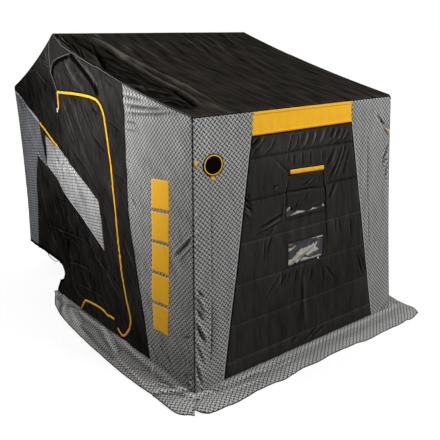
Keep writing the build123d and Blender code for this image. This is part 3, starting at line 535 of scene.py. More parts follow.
def stepped(line, step):
    """The same line with points at even steps, its corners kept when they turn by much."""
    line = np.array(line, float)
    keep = [0]
    for k in range(1, len(line) - 1):
        a, b = line[k] - line[k - 1], line[k + 1] - line[k]
        if a @ b < 0.9 * np.linalg.norm(a) * np.linalg.norm(b):
            keep.append(k)
    keep.append(len(line) - 1)
    out = []
    for first, last in zip(keep, keep[1:]):
        piece = line[first : last + 1]
        run = lengths_along(piece)
        count = max(1, round(run[-1] / step))
        at = np.linspace(0, run[-1], count + 1)[:-1]
        out.append(np.stack([np.interp(at, run, piece[:, k]) for k in range(line.shape[1])], -1))
    return np.vstack([*out, line[-1:]])


def across(line):
    """The direction across a flat line, at each of its points."""
    along = np.gradient(line, axis=0)
    along /= np.linalg.norm(along, axis=1)[:, None]
    return np.stack([-along[:, 1], along[:, 0]], -1)


def closed(outline):
    return np.vstack([outline, outline[:1]])


def rectangle(left, low, right, high):
    return np.array([(left, low), (right, low), (right, high), (left, high)], float)


def near(spots, line):
    """How far spots are from a line, how far along it they lie, and on which side."""
    line = np.asarray(line, float)
    start, step = line[:-1], np.diff(line, axis=0)
    length = np.maximum(np.linalg.norm(step, axis=1), 1e-9)
    runs = lengths_along(line)[:-1]
    distance, along, hand = [np.empty(len(spots)) for _ in range(3)]
    for first in range(0, len(spots), 8000):
        some = spots[first : first + 8000, None, :] - start
        t = np.clip((some * step).sum(-1) / length**2, 0, 1)
        gap = some - t[..., None] * step
        reach = np.hypot(gap[..., 0], gap[..., 1])
        best = reach.argmin(1)
        rows = np.arange(len(best))
        cross = step[best, 0] * gap[rows, best, 1] - step[best, 1] * gap[rows, best, 0]
        distance[first : first + 8000] = reach[rows, best]
        along[first : first + 8000] = runs[best] + t[rows, best] * length[best]
        hand[first : first + 8000] = np.sign(cross)
    return distance, along, hand


def inside(spots, outline):
    """Which spots lie inside a closed outline."""
    x, y = spots[:, 0], spots[:, 1]
    within = np.zeros(len(spots), bool)
    outline = np.asarray(outline, float)
    for (ax, ay), (bx, by) in zip(outline, np.roll(outline, -1, axis=0)):
        if ay != by:
            within ^= ((ay > y) != (by > y)) & (x < (bx - ax) * (y - ay) / (by - ay) + ax)
    return within


def rumple(u, v, seed):
    """Smooth random heights from about -1 to 1, a bump to each unit of u and v."""
    turns = np.random.default_rng(seed).uniform(0, 2 * math.pi, (64, 64))
    iu, iv = np.floor(u).astype(int), np.floor(v).astype(int)
    fu, fv = u - iu, v - iv
    su, sv = smooth_step(fu), smooth_step(fv)

    def corner(du, dv):
        angle = turns[(iu + du) % 64, (iv + dv) % 64]
        return np.cos(angle) * (fu - du) + np.sin(angle) * (fv - dv)

    low = corner(0, 0) * (1 - su) + corner(1, 0) * su
    high = corner(0, 1) * (1 - su) + corner(1, 1) * su
    return 1.6 * (low * (1 - sv) + high * sv)


def leaning(spots, angle, long, wide, seed):
    """Random ridges that run at an angle, in degrees from the first axis."""
    c, s = math.cos(math.radians(angle)), math.sin(math.radians(angle))
    u, v = spots[:, 0] * c + spots[:, 1] * s, spots[:, 1] * c - spots[:, 0] * s
    return rumple(u / long, v / wide, seed)


def fold_lines(folds):
    """The height, width and smooth line of each drawn fold."""
    for (height, width), lines in folds.items():
        for line in lines:
            yield height, width, curved(line, 30) if len(line) > 2 else np.array(line, float)


def fold_heights(spots, folds, plain=False):
    """The height that drawn folds add at each spot: a ridge with a hollow on its lower side.

    plain gives how far a spot is a fold's top, 1, or its hollow, -1, in place of millimetres."""
    total = np.zeros(len(spots))
    for height, width, line in fold_lines(folds):
        close = around(spots, line, 3 * width)
        if not close.any():
            continue
        distance, along, hand = near(spots[close], line)
        t = along / lengths_along(line)[-1]
        taper = np.sqrt(np.clip(4 * t * (1 - t), 0, 1))
        spread = 0.55 * width
        ridge = np.exp(-((distance / spread) ** 2))
        side = np.exp(-(((distance - 1.5 * spread) / spread) ** 2)) * (hand < 0)
        size = math.copysign(min(1.0, 0.5 + abs(height) / 10), height) if plain else height
        total[close] += size * taper * (ridge - (0.7 if plain else 0.4) * side)
    return total


def around(spots, line, reach):
    """Which spots lie in the rectangle round a line, widened by reach."""
    return np.all((spots > line.min(0) - reach) & (spots < line.max(0) + reach), axis=1)


def fold_places(folds, step):
    """Places along drawn folds and beside them, which a mesh needs to show them crisply."""
    places = [np.empty((0, 2))]
    for _, width, line in fold_lines(folds):
        line = stepped(line, step)
        places += [line + across(line) * width * share for share in (-0.85, -0.4, 0, 0.4, 0.85)]
    return np.vstack(places)


# --- Surfaces: each turns a flat place into a point on the hut


class Surface:
    """A cloth surface of the hut, drawn flat: seams, folds and slack give its height."""

    depth = 1.0
    turned = False
    seams = ()  # (line, depth, puckers)
    folds = {}  # (height, width): lines
    slack = ()  # (height, angle, long, wide, seed)
    bulge = None  # a function of the spots
    edges = ()  # seams with a painted highlight along their edge
    shades = ()  # (middle, reach, amount): a wide patch of painted shade, or of painted light where the amount is above 0
    areas = ()  # (outline, amount): a patch of painted shade with a crisp edge
    strokes = ()  # (line, width, amount): a narrow line of painted shade, or of painted highlight where the amount is above 0

    def __init__(self, **facts):
        vars(self).update(facts)

    def edge(self, spots):
        """How free the cloth is to leave its plane, from 0 at a bow to 1."""
        return np.ones(len(spots))

    def height(self, spots):
        total = fold_heights(spots, self.folds) * self.depth
        for height, angle, long, wide, seed in self.slack:
            total += height * leaning(spots, angle, long, wide, seed)
        for count, (line, depth, pucker) in enumerate(self.seams):
            distance, along, _ = near(spots, line)
            total -= depth * np.exp(-((distance / 5) ** 2))
            wave = rumple(along / 26, distance / 60, 40 + count)
            total += pucker * wave * np.exp(-distance / 34) * smooth_step(distance / 9)
        if self.bulge:
            total += self.bulge(spots)
        return total * self.edge(spots)

    def loose(self, spots):
        """How much the random slack shows as painted shade and highlight in the cloth's colour."""
        return 0.32

    def crease(self, spots):
        """How much painted highlight each spot gets, up to 1 on a fold's top, or painted shade, down to -1 in
        a fold's or a seam's hollow, with the painted patches and lines added in.
        """
        total = fold_heights(spots, self.folds, plain=True)
        for _, angle, long, wide, seed in self.slack[1:]:
            total += self.loose(spots) * leaning(spots, angle, long, wide, seed)
        for line, _, _ in self.seams:
            total -= 0.7 * np.exp(-((near(spots, line)[0] / 5) ** 2))
        for line, width, amount in self.strokes:
            total += amount * np.exp(-((near(spots, line)[0] / width) ** 2))
        for line in self.edges:
            total += 1.3 * np.exp(-((near(spots, line)[0] / 4) ** 2))
        for middle, reach, amount in self.shades:
            total += amount * np.exp(-(((spots - middle) / reach) ** 2).sum(1))
        for outline, amount in self.areas:
            total += amount * inside(spots, outline) * smooth_step(near(spots, outline)[0] / 18)
        return np.clip(total, -1, 1)

    def at(self, spots, lift=0.0):
        """Points in millimetres over flat spots, raised off the cloth by lift."""
        spots = np.asarray(spots, float)
        shape = spots.shape[:-1]
        spots = spots.reshape(-1, 2)
        height = self.height(spots) + np.broadcast_to(lift, shape).reshape(-1)
        return settled(self.base(spots, height)).reshape(*shape, 3)


class SideSurface(Surface):
    """A side, drawn with Y and Z. hand is -1 for the left and 1 for the right."""

    depth = 1.5

    def edge(self, spots):
        distance, _, _ = near(spots, PROFILE[::8])
        foot = smooth_step((spots[:, 1] + 12) / 40)
        return smooth_step((distance - 4) / HELD) * (0.25 + 0.75 * foot)

    def base(self, spots, height):
        distance, run, _ = near(spots, PROFILE[::3])
        run = np.interp(run, lengths_along(PROFILE[::3]), PROFILE_RUN[::3][: len(PROFILE[::3])])
        _, out = profile_at(run)
        lean = np.clip(1 - distance / CORNER_ROUND, 0, 1) * math.pi / 4
        inward = np.where(lean > 0, CORNER_ROUND * (1 - np.sin(lean)) - distance, 0)
        width = half_width(spots[:, 0], spots[:, 1])
        moved = spots - out * inward[:, None]
        x = self.hand * (width - CORNER_ROUND * (1 - np.cos(lean)) + height)
        return np.stack([x, moved[:, 0], moved[:, 1]], -1)


class CrossSurface(Surface):
    """Front wall, roof and rear wall in one, drawn with X and the length up and over the hut."""

    depth = 1.5

    def edge(self, spots):
        point, _ = profile_at(spots[:, 1])
        gap = half_width(point[:, 0], point[:, 1]) - np.abs(spots[:, 0])
        free = smooth_step((gap - 4) / HELD)
        for bow in (EAVE, RIDGE, REAR_EAVE):
            free = free * (0.15 + 0.85 * smooth_step((np.hypot(*(point - bow).T) - 14) / 50))
        return free * (0.3 + 0.7 * smooth_step(spots[:, 1] / 40))

    def loose(self, spots):
        return np.where(spots[:, 1] > run_of_front(1320), 0.5, 0.22)

    def base(self, spots, height):
        point, out = profile_at(spots[:, 1])
        width = half_width(point[:, 0], point[:, 1])
        gap = np.maximum(width - np.abs(spots[:, 0]), 0)
        lean = np.clip(1 - gap / CORNER_ROUND, 0, 1) * math.pi / 4
        corner = np.sign(spots[:, 0]) * (width - CORNER_ROUND * (1 - np.sin(lean)))
        x = np.where(lean > 0, corner, spots[:, 0])
        moved = point + out * (height - CORNER_ROUND * (1 - np.cos(lean)))[:, None]
        return np.stack([x, moved[:, 0], moved[:, 1]], -1)


class SkirtSurface(Surface):
    """A skirt on the ground, drawn with X and Y."""

    def crease(self, spots):
        # Painted light on the skirts: a painted highlight on the roll beside the wall, painted shade in the
        # crease beyond it and along the wall's foot, the front skirt painted lighter and the side skirts
        # darker.
        t = skirt_reach(spots) / SKIRT_WIDTH
        roll = 0.7 * np.exp(-(((t - 0.14) / 0.09) ** 2)) - 0.8 * np.exp(-(((t - 0.34) / 0.06) ** 2))
        roll += np.where(spots[:, 1] < -FEET, 0.3, -0.2)
        return np.clip(super().crease(spots) + roll - 0.5 * np.exp(-((t / 0.03) ** 2)), -1, 1)

    def base(self, spots, height):
        return np.stack([spots[:, 0], spots[:, 1], np.maximum(height, 4.0)], -1)


# --- Making meshes


def new_piece(name, points, faces, finish, spots):
    """An object at the origin from points in metres, with flat places as its UV map."""
    mesh = bpy.data.meshes.new(name)
    mesh.from_pydata(points.tolist(), [], [list(face) for face in faces])
    mesh.update()
    layer = mesh.uv_layers.new(name="Cut")
    index = np.empty(len(mesh.loops), int)
    mesh.loops.foreach_get("vertex_index", index)
    layer.data.foreach_set("uv", (spots / 1000)[index].ravel())
    mesh.polygons.foreach_set("use_smooth", [True] * len(mesh.polygons))
    mesh.materials.append(finish_of(finish))
    piece = bpy.data.objects.new(name, mesh)
    bpy.context.collection.objects.link(piece)
    return piece


def mark_painted_light(piece, values):
    """Stores how far each point gets painted highlight, as on a fold's top, or painted shade, as in its
    hollow, which the finishes read.
    """
    values = np.asarray(values, np.float32)
    piece.data.attributes.new("crease", "FLOAT", "POINT").data.foreach_set("value", values)


def thickened(piece, thickness):
    """Gives a sheet its thickness, inwards."""
    only(piece)
    solid = piece.modifiers.new("Thickness", "SOLIDIFY")
    solid.thickness = thickness / 1000
    solid.offset = -1
    bpy.ops.object.modifier_apply(modifier=solid.name)


def only(piece=None):
    """Selects one piece, or nothing."""
    bpy.ops.object.select_all(action="DESELECT")
    if piece:
        piece.select_set(True)
        bpy.context.view_layer.objects.active = piece


def thinned(places, gap):
    """The places with none nearer to another than about the gap."""
    _, kept = np.unique(np.round(places / gap), axis=0, return_index=True)
    return places[kept]


def away(places, marked, gap):
    """Which places lie further than about the gap from every marked one."""
    low = np.minimum(places.min(0), marked.min(0)) - 2 * gap
    cells = np.zeros(tuple(((np.maximum(places.max(0), marked.max(0)) - low) / gap + 4).astype(int)), bool)
    x, y = ((marked - low) / gap).astype(int).T
    for dx in (-1, 0, 1):
        for dy in (-1, 0, 1):
            cells[x + dx, y + dy] = True
    x, y = ((places - low) / gap).astype(int).T
    return ~cells[x, y]


def cut_out(outline, seams, step, folds=None):
    """Flat triangles over an outline, with edges along the seams and finer ones over the folds."""
    points, edges = [], []
    lines = [stepped(line, step) for line in (closed(outline), *seams)]
    for line in lines:
        first = len(points)
        points += line.tolist()
        edges += [(first + k, first + k + 1) for k in range(len(line) - 1)]
    low, high = np.min(outline, 0), np.max(outline, 0)
    rise = step * math.sqrt(3) / 2
    rows = np.arange(low[1], high[1], rise)
    columns = np.arange(low[0], high[0], step)
    grid = np.stack(np.meshgrid(columns, rows), -1)
    grid[1::2, :, 0] += step / 2
    grid = grid.reshape(-1, 2)
    over = fold_places(folds or {}, step)
    if len(over):
        over = thinned(over, 0.42 * step)
        grid = np.vstack([over, grid[away(grid, over, 0.45 * step)]])
    grid = grid[inside(grid, outline)]
    free = np.ones(len(grid), bool)
    for line in lines:
        spots = np.nonzero(around(grid, line, step) & free)[0]
        free[spots] = near(grid[spots], line)[0] > 0.4 * step
    points += grid[free].tolist()
    found = delaunay_2d_cdt([Vector(p) for p in points], edges, [], 0, 1e-4, False)
    spots = np.array([tuple(p) for p in found[0]])
    faces = np.array(found[2])
    a, b, c = spots[faces[:, 0]], spots[faces[:, 1]], spots[faces[:, 2]]
    area = 0.5 * ((b - a)[:, 0] * (c - a)[:, 1] - (b - a)[:, 1] * (c - a)[:, 0])
    faces[area < 0] = faces[area < 0][:, ::-1]
    kept = (np.abs(area) > 0.02) & inside((a + b + c) / 3, outline)
    return spots, faces[kept], np.abs(area[kept])


# How the print lies on a panel: its turn in degrees, and where it starts.
PRINTS = {
    "slash_panel": (38, 0, 0),
    "rear_panel": (38, 0, 0),
    "skirt": (-7, 0, 0),
    "left_panel": (0, -680.3, 1295.0),
}


def printed(node, spots):
    """A panel's places on its printed cloth, which is turned and shifted as it was when cut."""
    angle, x, y = PRINTS.get(node.split("_", 1)[1], (0, 0, 0))
    c, s = math.cos(math.radians(angle)), math.sin(math.radians(angle))
    return (spots - [x, y]) @ [[c, -s], [s, c]]


def cloth_panels(surface, outline, seams, step, regions, thickness=CLOTH):
    """Cuts a surface into its panels. regions are (node, outline or None for the rest, finish)."""
    spots, faces, areas = cut_out(outline, seams, step, surface.folds if step < 10 else None)
    middles = spots[faces].mean(1)
    points = placed(surface.at(spots))
    # Painted light and shade at each point, which the finishes read.
    crease = surface.crease(spots)
    left = np.ones(len(faces), bool)
    for node, region, finish in regions:
        chosen = left & (inside(middles, region) if region is not None else True)
        left &= ~chosen
        if finish is None:
            continue
        used, index = np.unique(faces[chosen], return_inverse=True)
        index = index.reshape(-1, 3)
        if surface.turned:
            index = index[:, ::-1]
        piece = new_piece(f"{node}_cloth", points[used], index, finish, printed(node, spots[used]))
        mark_painted_light(piece, crease[used])
        thickened(piece, thickness)
        own(piece, MAKERS[finish][0], node)
        if finish == "quilt":
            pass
        else:
            as_sheet(areas[chosen])


def as_sheet(areas):
    """Works out the area of a piece cut from flat cloth, in square metres.

    Both upper side panels fill 0.245, and their real width is 1.70. The width declared for them,
    1.19, is not their real one, 1.70."""
    area = float(areas.sum() / 1e6)


def own(piece, slot, *nodes):
    """Puts a piece on the hut's body, in place of the named solids, with nothing below the ground."""
    if piece.type == "MESH":
        places = np.empty(len(piece.data.vertices) * 3, np.float32)
        piece.data.vertices.foreach_get("co", places)
        places[2::3] = np.maximum(places[2::3], 0.0)
        piece.data.vertices.foreach_set("co", places)
        piece.data.update()
    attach(piece, "root")
    if nodes:
        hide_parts(*nodes)


def skin(rings):
    """Points and faces of a closed skin over rings of points, facing outwards."""
    rows, count = rings.shape[:2]
    points = rings.reshape(-1, 3)
    faces = []
    for low in range(0, (rows - 1) * count, count):
        high = low + count
        for k in range(count):
            n = (k + 1) % count
            faces.append((low + k, low + n, high + n, high + k))
    faces.append(tuple(range(count))[::-1])
    faces.append(tuple((rows - 1) * count + k for k in range(count)))
    middle = points.mean(0)
    volume = 0.0
    for face in faces:
        corners = points[list(face)] - middle
        for k in range(1, len(corners) - 1):
            volume += corners[0] @ np.cross(corners[k], corners[k + 1])
    if volume < 0:
        faces = [face[::-1] for face in faces]
    return points, faces


def gathered(name, skins, finish, *nodes, slot=None):
    """One piece from several skins, each with its points, faces and flat places."""
    points, faces, spots, first = [], [], [], 0
    for some_points, some_faces, some_spots in skins:
        points.append(some_points)
        spots.append(some_spots)
        faces += [tuple(first + k for k in face) for face in some_faces]
        first += len(some_points)
    piece = new_piece(name, placed(np.vstack(points)), faces, finish, np.vstack(spots))
    own(piece, slot or MAKERS[finish][0], *nodes)


def finished(name, finish):
    """Names the hard piece just modelled, gives it its finish and puts it on the hut."""
    piece = bpy.context.object
    piece.name = name
    bpy.ops.object.transform_apply(location=True, rotation=True, scale=True)
    bpy.ops.object.shade_smooth()
    piece.data.materials.append(finish_of(finish))
    own(piece, MAKERS[finish][0])


def rounded_block(name, place, size, rounding, segments, finish):
    """A small block with rounded edges, sizes in metres."""
    only()
    bpy.ops.mesh.primitive_cube_add(size=1, location=place, scale=size)
    bpy.ops.object.mode_set(mode="EDIT")
    bpy.ops.mesh.select_all(action="SELECT")
    bpy.ops.mesh.bevel(offset=rounding, segments=segments)
    bpy.ops.object.mode_set(mode="OBJECT")
    finished(name, finish)


BAND_COLUMNS = 5


def band(surface, line, width, lift, crown, step=7.0, sink=2.0):
    """A flat trim along a line of a surface: its points, faces and flat places."""
    line = stepped(line, step)
    place = np.linspace(-1, 1, BAND_COLUMNS)
    spots = line[:, None] + across(line)[:, None] * (place * width / 2)[None, :, None]
    lifts = lift + crown * (1 - place**2)[None, :] + np.zeros((len(line), 1))
    top = surface.at(spots, lifts)
    under = surface.at(spots[:, [-1, 0]], -sink)
    run = lengths_along(line)
    flat = np.stack(np.broadcast_arrays(run[:, None], place * width / 2), -1)
    rings = np.concatenate([top, under], 1)
    flats = np.concatenate([flat, flat[:, [-1, 0]]], 1)
    points, faces = skin(rings)
    return points, faces, flats.reshape(-1, 2)


def bead(line, radius, sides=8):
    """A round cord of cloth along a line of points: its points, faces and flat places."""
    along = np.gradient(line, axis=0)
    along /= np.linalg.norm(along, axis=1)[:, None]
    first = np.cross(along, [0.3, 0.2, 1.0])
    first /= np.linalg.norm(first, axis=1)[:, None]
    second = np.cross(along, first)
    angle = np.arange(sides) * 2 * math.pi / sides
    rings = (
        line[:, None]
        + radius * np.cos(angle)[None, :, None] * first[:, None]
        + radius * np.sin(angle)[None, :, None] * second[:, None]
    )
    flat = np.stack(np.broadcast_arrays(lengths_along(line)[:, None], angle * radius), -1)
    points, faces = skin(rings)
    return points, faces, flat.reshape(-1, 2)


# --- Finishes

WHITE = (1.0, 1.0, 1.0, 1.0)


class Wire:
    """A socket of a finish in the making, on which sums are written as on a number."""

    def __init__(self, finish, socket):
        self.finish, self.socket = finish, socket

    def math(self, operation, *values):
        sockets = dict(enumerate((self, *values)))
        return self.finish.node("ShaderNodeMath", {"operation": operation}, sockets)

    def __add__(self, other):
        return self.math("ADD", other)

    def __sub__(self, other):
        return self.math("SUBTRACT", other)

    def __mul__(self, other):
        return self.math("MULTIPLY", other)

    __radd__ = __add__
    __rmul__ = __mul__

    def __rsub__(self, other):
        return self * -1 + other

    def __abs__(self):
        return self.math("ABSOLUTE")

    def fraction(self):
        return self.math("FRACT")

    def limited(self):
        return self.finish.node("ShaderNodeClamp", {}, {0: self})


class Finish:
    """A material: one Principled shader, with what varies over the surface fed into it."""

    def __init__(self, name, **constants):
        self.material = bpy.data.materials.new(name)
        self.material.use_nodes = True
        self.tree = self.material.node_tree
        self.tree.nodes.clear()
        self.shader = self.tree.nodes.new("ShaderNodeBsdfPrincipled")
        self.output = self.tree.nodes.new("ShaderNodeOutputMaterial")
        self.tree.links.new(self.shader.outputs[0], self.output.inputs[0])
        self.feed(**constants)

    @classmethod
    def on(cls, tree):
        """The same way of adding nodes, on a tree that has no Principled shader."""
        made = cls.__new__(cls)
        made.tree = tree
        return made

    def feed(self, **values):
        """Sets the shader's sockets, each named with _ for a space."""
        for name, value in values.items():
            self.set(self.shader.inputs[name.replace("_", " ")], value)

    def set(self, socket, value):
        """Links a socket to a wire, or gives it a number or colour."""
        if isinstance(value, Wire):
            self.tree.links.new(value.socket, socket)
        else:
            socket.default_value = value

    def node(self, kind, settings=None, sockets=None, output=0):
        """A node with its settings, then the values or links of its sockets."""
        made = self.tree.nodes.new(kind)
        for name, value in (settings or {}).items():
            if name == "stops":
                ramp = made.color_ramp
                ramp.elements[0].position, ramp.elements[0].color = value[0]
                ramp.elements[1].position, ramp.elements[1].color = value[-1]
                for place, colour in value[1:-1]:
                    ramp.elements.new(place).color = colour
            else:
                setattr(made, name, value)
        for name, value in (sockets or {}).items():
            self.set(made.inputs[name], value)
        return Wire(self, made.outputs[output])

    def flat(self):
        """The cloth's own flat place, in metres."""
        return self.node("ShaderNodeTexCoord", output="UV")

    def solid(self):
        """The place in the object, in metres."""
        return self.node("ShaderNodeTexCoord", output="Object")

    def parts(self, place):
        return [self.node("ShaderNodeSeparateXYZ", {}, {0: place}, k) for k in (0, 1, 2)]

    def noise(self, place, scale, detail, rough=0.5, stretch=None, turn=0):
        """Random tones. stretch makes them that much longer along axes turned by an angle in degrees."""
        if stretch:
            sockets = {"Vector": place, "Rotation": (0.0, 0.0, math.radians(turn)), "Scale": stretch}
            place = self.node("ShaderNodeMapping", {"vector_type": "TEXTURE"}, sockets)
        sockets = {"Vector": place, "Scale": scale, "Detail": detail, "Roughness": rough}
        return self.node("ShaderNodeTexNoise", {}, sockets)

    def mix(self, factor, first, second, blend="MIX"):
        settings = {"data_type": "RGBA", "blend_type": blend}
        return self.node("ShaderNodeMix", settings, {0: factor, 6: first, 7: second}, 2)

    def crease(self):
        """How far the cloth gets painted highlight, as on a fold's top, or painted shade, as in its hollow,
        which the mesh stores as its crease attribute.
        """
        return self.node("ShaderNodeAttribute", {"attribute_name": "crease"}, output=2)

    def painted_shade_and_highlight(self, colour, dark, bright):
        """A colour with painted shade in the cloth's hollows and a painted highlight along its folds' tops.
        """
        crease = self.crease()
        colour = self.mix((crease * -dark).limited(), colour, (0.0, 0.0, 0.0, 1.0))
        return self.mix((crease * bright).limited(), colour, WHITE, "DODGE")

    def bump(self, height, strength, distance):
        sockets = {"Height": height, "Strength": strength, "Distance": distance}
        self.feed(Normal=self.node("ShaderNodeBump", {}, sockets))


def tone(red, green, blue):
    """A colour written from 0 to 255, as the shader's numbers."""
    linear = []
    for part in (red, green, blue):
        part /= 255
        linear.append(part / 12.92 if part <= 0.04045 else ((part + 0.055) / 1.055) ** 2.4)
    return (*linear, 1.0)


COOL, WARM = (1, 1.02, 1.12), (1.06, 1, 0.9)


def scaled(colour, amount, cast=(1, 1, 1)):
    """A colour times an amount, with a cast."""
    return (*[min(1.0, part * amount * share) for part, share in zip(colour, cast)], 1.0)


PRINT_REPEAT, TAPE_RIBS = 0.026, 0.0016  # metres
DASH_LONG, DASH_WIDE = 0.46, 0.152  # shares of the print's repeat


def weave(finish, place, thread):
    """The height of a plain weave with threads this far apart, in metres."""
    u, v, _ = finish.parts(place)
    wave_u = (u * (math.pi / thread)).math("SINE")
    wave_v = (v * (math.pi / thread)).math("SINE")
    return abs(wave_u) * 0.5 + abs(wave_v) * 0.5


def tread_cloth(name, ground, dash):
    """Light cloth printed all over with short lens-shaped dashes that lean left and right in turn."""
    finish = Finish(name, Specular_IOR_Level=0.12)
    place = finish.flat()
    u, v, _ = finish.parts(place)
    p, q = u * (1 / PRINT_REPEAT), v * (1 / PRINT_REPEAT)
    masks = []
    for shift, lean in ((0.0, -1), (0.5, 1)):
        du, dv = (p + shift).fraction() - 0.5, (q + shift).fraction() - 0.5
        long = (du + dv * lean) * (0.7071 / DASH_LONG)
        wide = (du - dv * lean) * (0.7071 / DASH_WIDE)
        masks.append(((1 - long * long - wide * wide) * 4).limited())
    mask = masks[0] + masks[1]
    cloudy = finish.noise(place, 7.0, 3.0)
    thread = finish.noise(place, 900.0, 1.0)
    pale = finish.mix(cloudy * 0.6 + thread * 0.3, scaled(ground, 0.88), scaled(ground, 1.14))
    colour = finish.mix(mask * 0.94, pale, dash)
    # Painted shade in the cloth's hollows, painted highlight on its folds' tops.
    finish.feed(Base_Color=finish.painted_shade_and_highlight(colour, 0.62, 0.34))
    finish.feed(Roughness=0.5 + thread * 0.2 + mask * 0.05)
    finish.bump(weave(finish, place, 0.0009) * 0.4 - mask * 0.6, 0.35, 0.0006)
    return finish.material


def coated_cloth(name, colour, rough=0.42, gloss=0.0, turn=80, patchy=1.0):
    """Dark coated cloth with a fine weave and random streaks, painted shade in its hollows, and its soft
    shine painted as a highlight along its folds' tops.
    """
    finish = Finish(name, Specular_IOR_Level=gloss)
    place = finish.flat()
    cloudy = finish.noise(place, 5.0, 4.0, 0.6)
    fine = finish.noise(place, 420.0, 2.0)
    streak = finish.noise(place, 150.0, 3.0, 0.6, stretch=(40.0, 1.0, 1.0), turn=turn)
    # Paler and darker streaks at random along the cloth.
    streaky = (streak * 2.6 + cloudy * 0.7 - 1.15).limited()
    colour = finish.mix(streaky, scaled(colour, 1 - 0.36 * patchy), scaled(colour, 1 + 0.4 * patchy))
    # Painted shade in the cloth's hollows, painted highlight on its folds' tops.
    finish.feed(Base_Color=finish.painted_shade_and_highlight(colour, 0.9, 0.72))
    finish.feed(Roughness=rough - 0.06 + cloudy * 0.1 + fine * 0.06)
    finish.bump(weave(finish, place, 0.0011) * 0.5 + fine * 0.5 + streak * 4, 0.25, 0.0005)
    return finish.material


def tape_cloth(name, colour, gloss=0.1):
    """Bright woven tape: ribs across it and a little unevenness of colour."""
    finish = Finish(name, Specular_IOR_Level=gloss)
    place = finish.flat()
    cloudy = finish.noise(place, 30.0, 3.0)
    u, _, _ = finish.parts(place)
    rib = abs((u * (math.pi / TAPE_RIBS)).math("SINE"))
    finish.feed(Base_Color=finish.mix(cloudy * 0.7 + rib * 0.3, scaled(colour, 0.84), scaled(colour, 1.08)))
    finish.feed(Roughness=0.5 + rib * 0.15)
    finish.bump(rib, 0.3, 0.0004)
    return finish.material


# --- Lines of the sides, shared by the panels, their trim and both hands

CORNER_SEAM = curved(
    [(578, 1490), (564, 1320), (558, 1093), (546, 875), (531, 750), (485, 569), (433, 307), (368, -12)]
)
ZIP_LINE = curved(
    [(1324, 1363), (1079, 1366), (939, 1363), (861, 1355), (824, 1343), (792, 1322), (760, 1276)]
    + [(738, 1190), (700, 968), (672, 740), (633, 446), (601, 308), (558, 178), (565, 127), (580, 98)]
    + [(613, 60), (655, 33), (692, 36), (719, 55)]
)
ZIP_LINE = np.vstack([[(1329, 1262)], ZIP_LINE])
LOW_ZIP = curved(
    [(759, 97), (801, 99), (844, 95), (903, 108), (1030, 100), (1112, 92), (1134, 85), (1173, 39), (1194, 14)]
)
DOOR_BACK_SEAM = np.array([(1335, 1253), (1335, 800), (1335, 110)], float)
DOOR_OUTLINE = np.vstack([ZIP_LINE, [(732, 76)], LOW_ZIP[:45], [(1335, 104)]])
SLASH_OUTLINE = np.array(
    [(1575, 1082), (1480, 1052), (1389, 1033), (1130, 906), (880, 782), (852, 677), (829, 492)]
    + [(1095, 623), (1287, 716), (1345, 748), (1390, 780), (1440, 822), (1590, 879)],
    float,
)
STRIP_LINE = curved([(1729, 937), (1790, 736), (1811, 534), (1840, 390), (1866, 240)], 20)
WEDGE_LINE = np.array([(2180, 1352), (1671, 1163), (1586, 871), (1729, 937)], float)
REAR_OUTLINE = np.vstack([[(2400, 1434)], WEDGE_LINE, STRIP_LINE, [(2400, 200)]])
LOWER_OUTLINE = np.vstack(
    [[(1335, -60), (1335, 745), (1390, 780), (1440, 822), (1586, 871)], STRIP_LINE, [(1866, -60)]]
)
BACK_ZIP = np.array([(1393, 1029), (1523, 1093), (1647, 1152)], float)
NOTCH = curved([(1505, 243), (1455, 226), (1425, 180), (1452, 130), (1505, 105)], 8)
HEM_LINE = np.array([(2020, 256), (1505, 243)], float)
HEM_TOP = HEM_LINE + [0, 18]
HEM_OUTLINE = np.array([(2200, 256), (1505, 243), (1505, 261), (2200, 279)], float)
RIDGE_PATCH = np.vstack(
    [
        curved([(1352, 1688), (1386, 1648), (1400, 1560), (1401, 1470)], 12),
        curved([(1387, 1501), (1364, 1524), (1327, 1544), (1274, 1559), (1170, 1581), (1112, 1592)], 12),
    ]
)
RIDGE_SEAM_LINE = curved([(1400, 1474), (1385, 1450), (1353, 1411), (1326, 1369)])
CORNER_OUTLINE = np.vstack([[(-300, 1700)], CORNER_SEAM, [(-300, -60)]])
SIDE_OUTLINE = np.vstack([PROFILE, HEM_LINE[1:], NOTCH[1:], [(1575, 0)]])

# --- Lines of the front, roof and rear wall, with the length up and over the hut as second number


def on_front(points):
    return np.array([(x, run_of_front(z)) for x, z in points], float)


def on_roof(points):
    return np.array([(x, run_of_roof(y)) for x, y in points], float)


# The quilt's seams, from the top: height and half length.
QUILT_ROWS = ((1100, 375), (896, 408), (687, 451), (480, 483), (274, 524), (82, 562))
UPPER_WINDOW = on_front([(-148, 768), (148, 768), (126, 976), (-126, 976)])
LOWER_WINDOW = on_front([(-136, 498), (136, 498), (136, 622), (-136, 622)])
WINDOW_OUTLINES = (closed(UPPER_WINDOW), closed(LOWER_WINDOW))
BANNER_SEAM = on_front([(-CENTER_TOP, BANNER_FOOT), (CENTER_TOP, BANNER_FOOT)])
BANNER_OUTLINE = np.vstack([BANNER_SEAM, on_front([(BANNER_TOP, 1400), (-BANNER_TOP, 1400)])])
CENTER_OUTLINE = np.vstack([on_front([(-CENTER_FOOT, -20), (CENTER_FOOT, -20)]), BANNER_SEAM[::-1]])
QUILT_SEAMS = [on_front([(-half, z), (half, z)]) for z, half in QUILT_ROWS]
WINDOW_SEAMS = [
    on_front([(-115, 988), (-181, 777)]),
    on_front([(133, 1065), (162, 670), (166, 560)]),
    on_front([(-150, 752), (150, 752)]),
]
CENTER_SIDES = [
    on_front([(hand * BANNER_TOP, EAVE[1]), (hand * CENTER_TOP, BANNER_FOOT), (hand * CENTER_FOOT, 0)])
    for hand in (-1, 1)
]


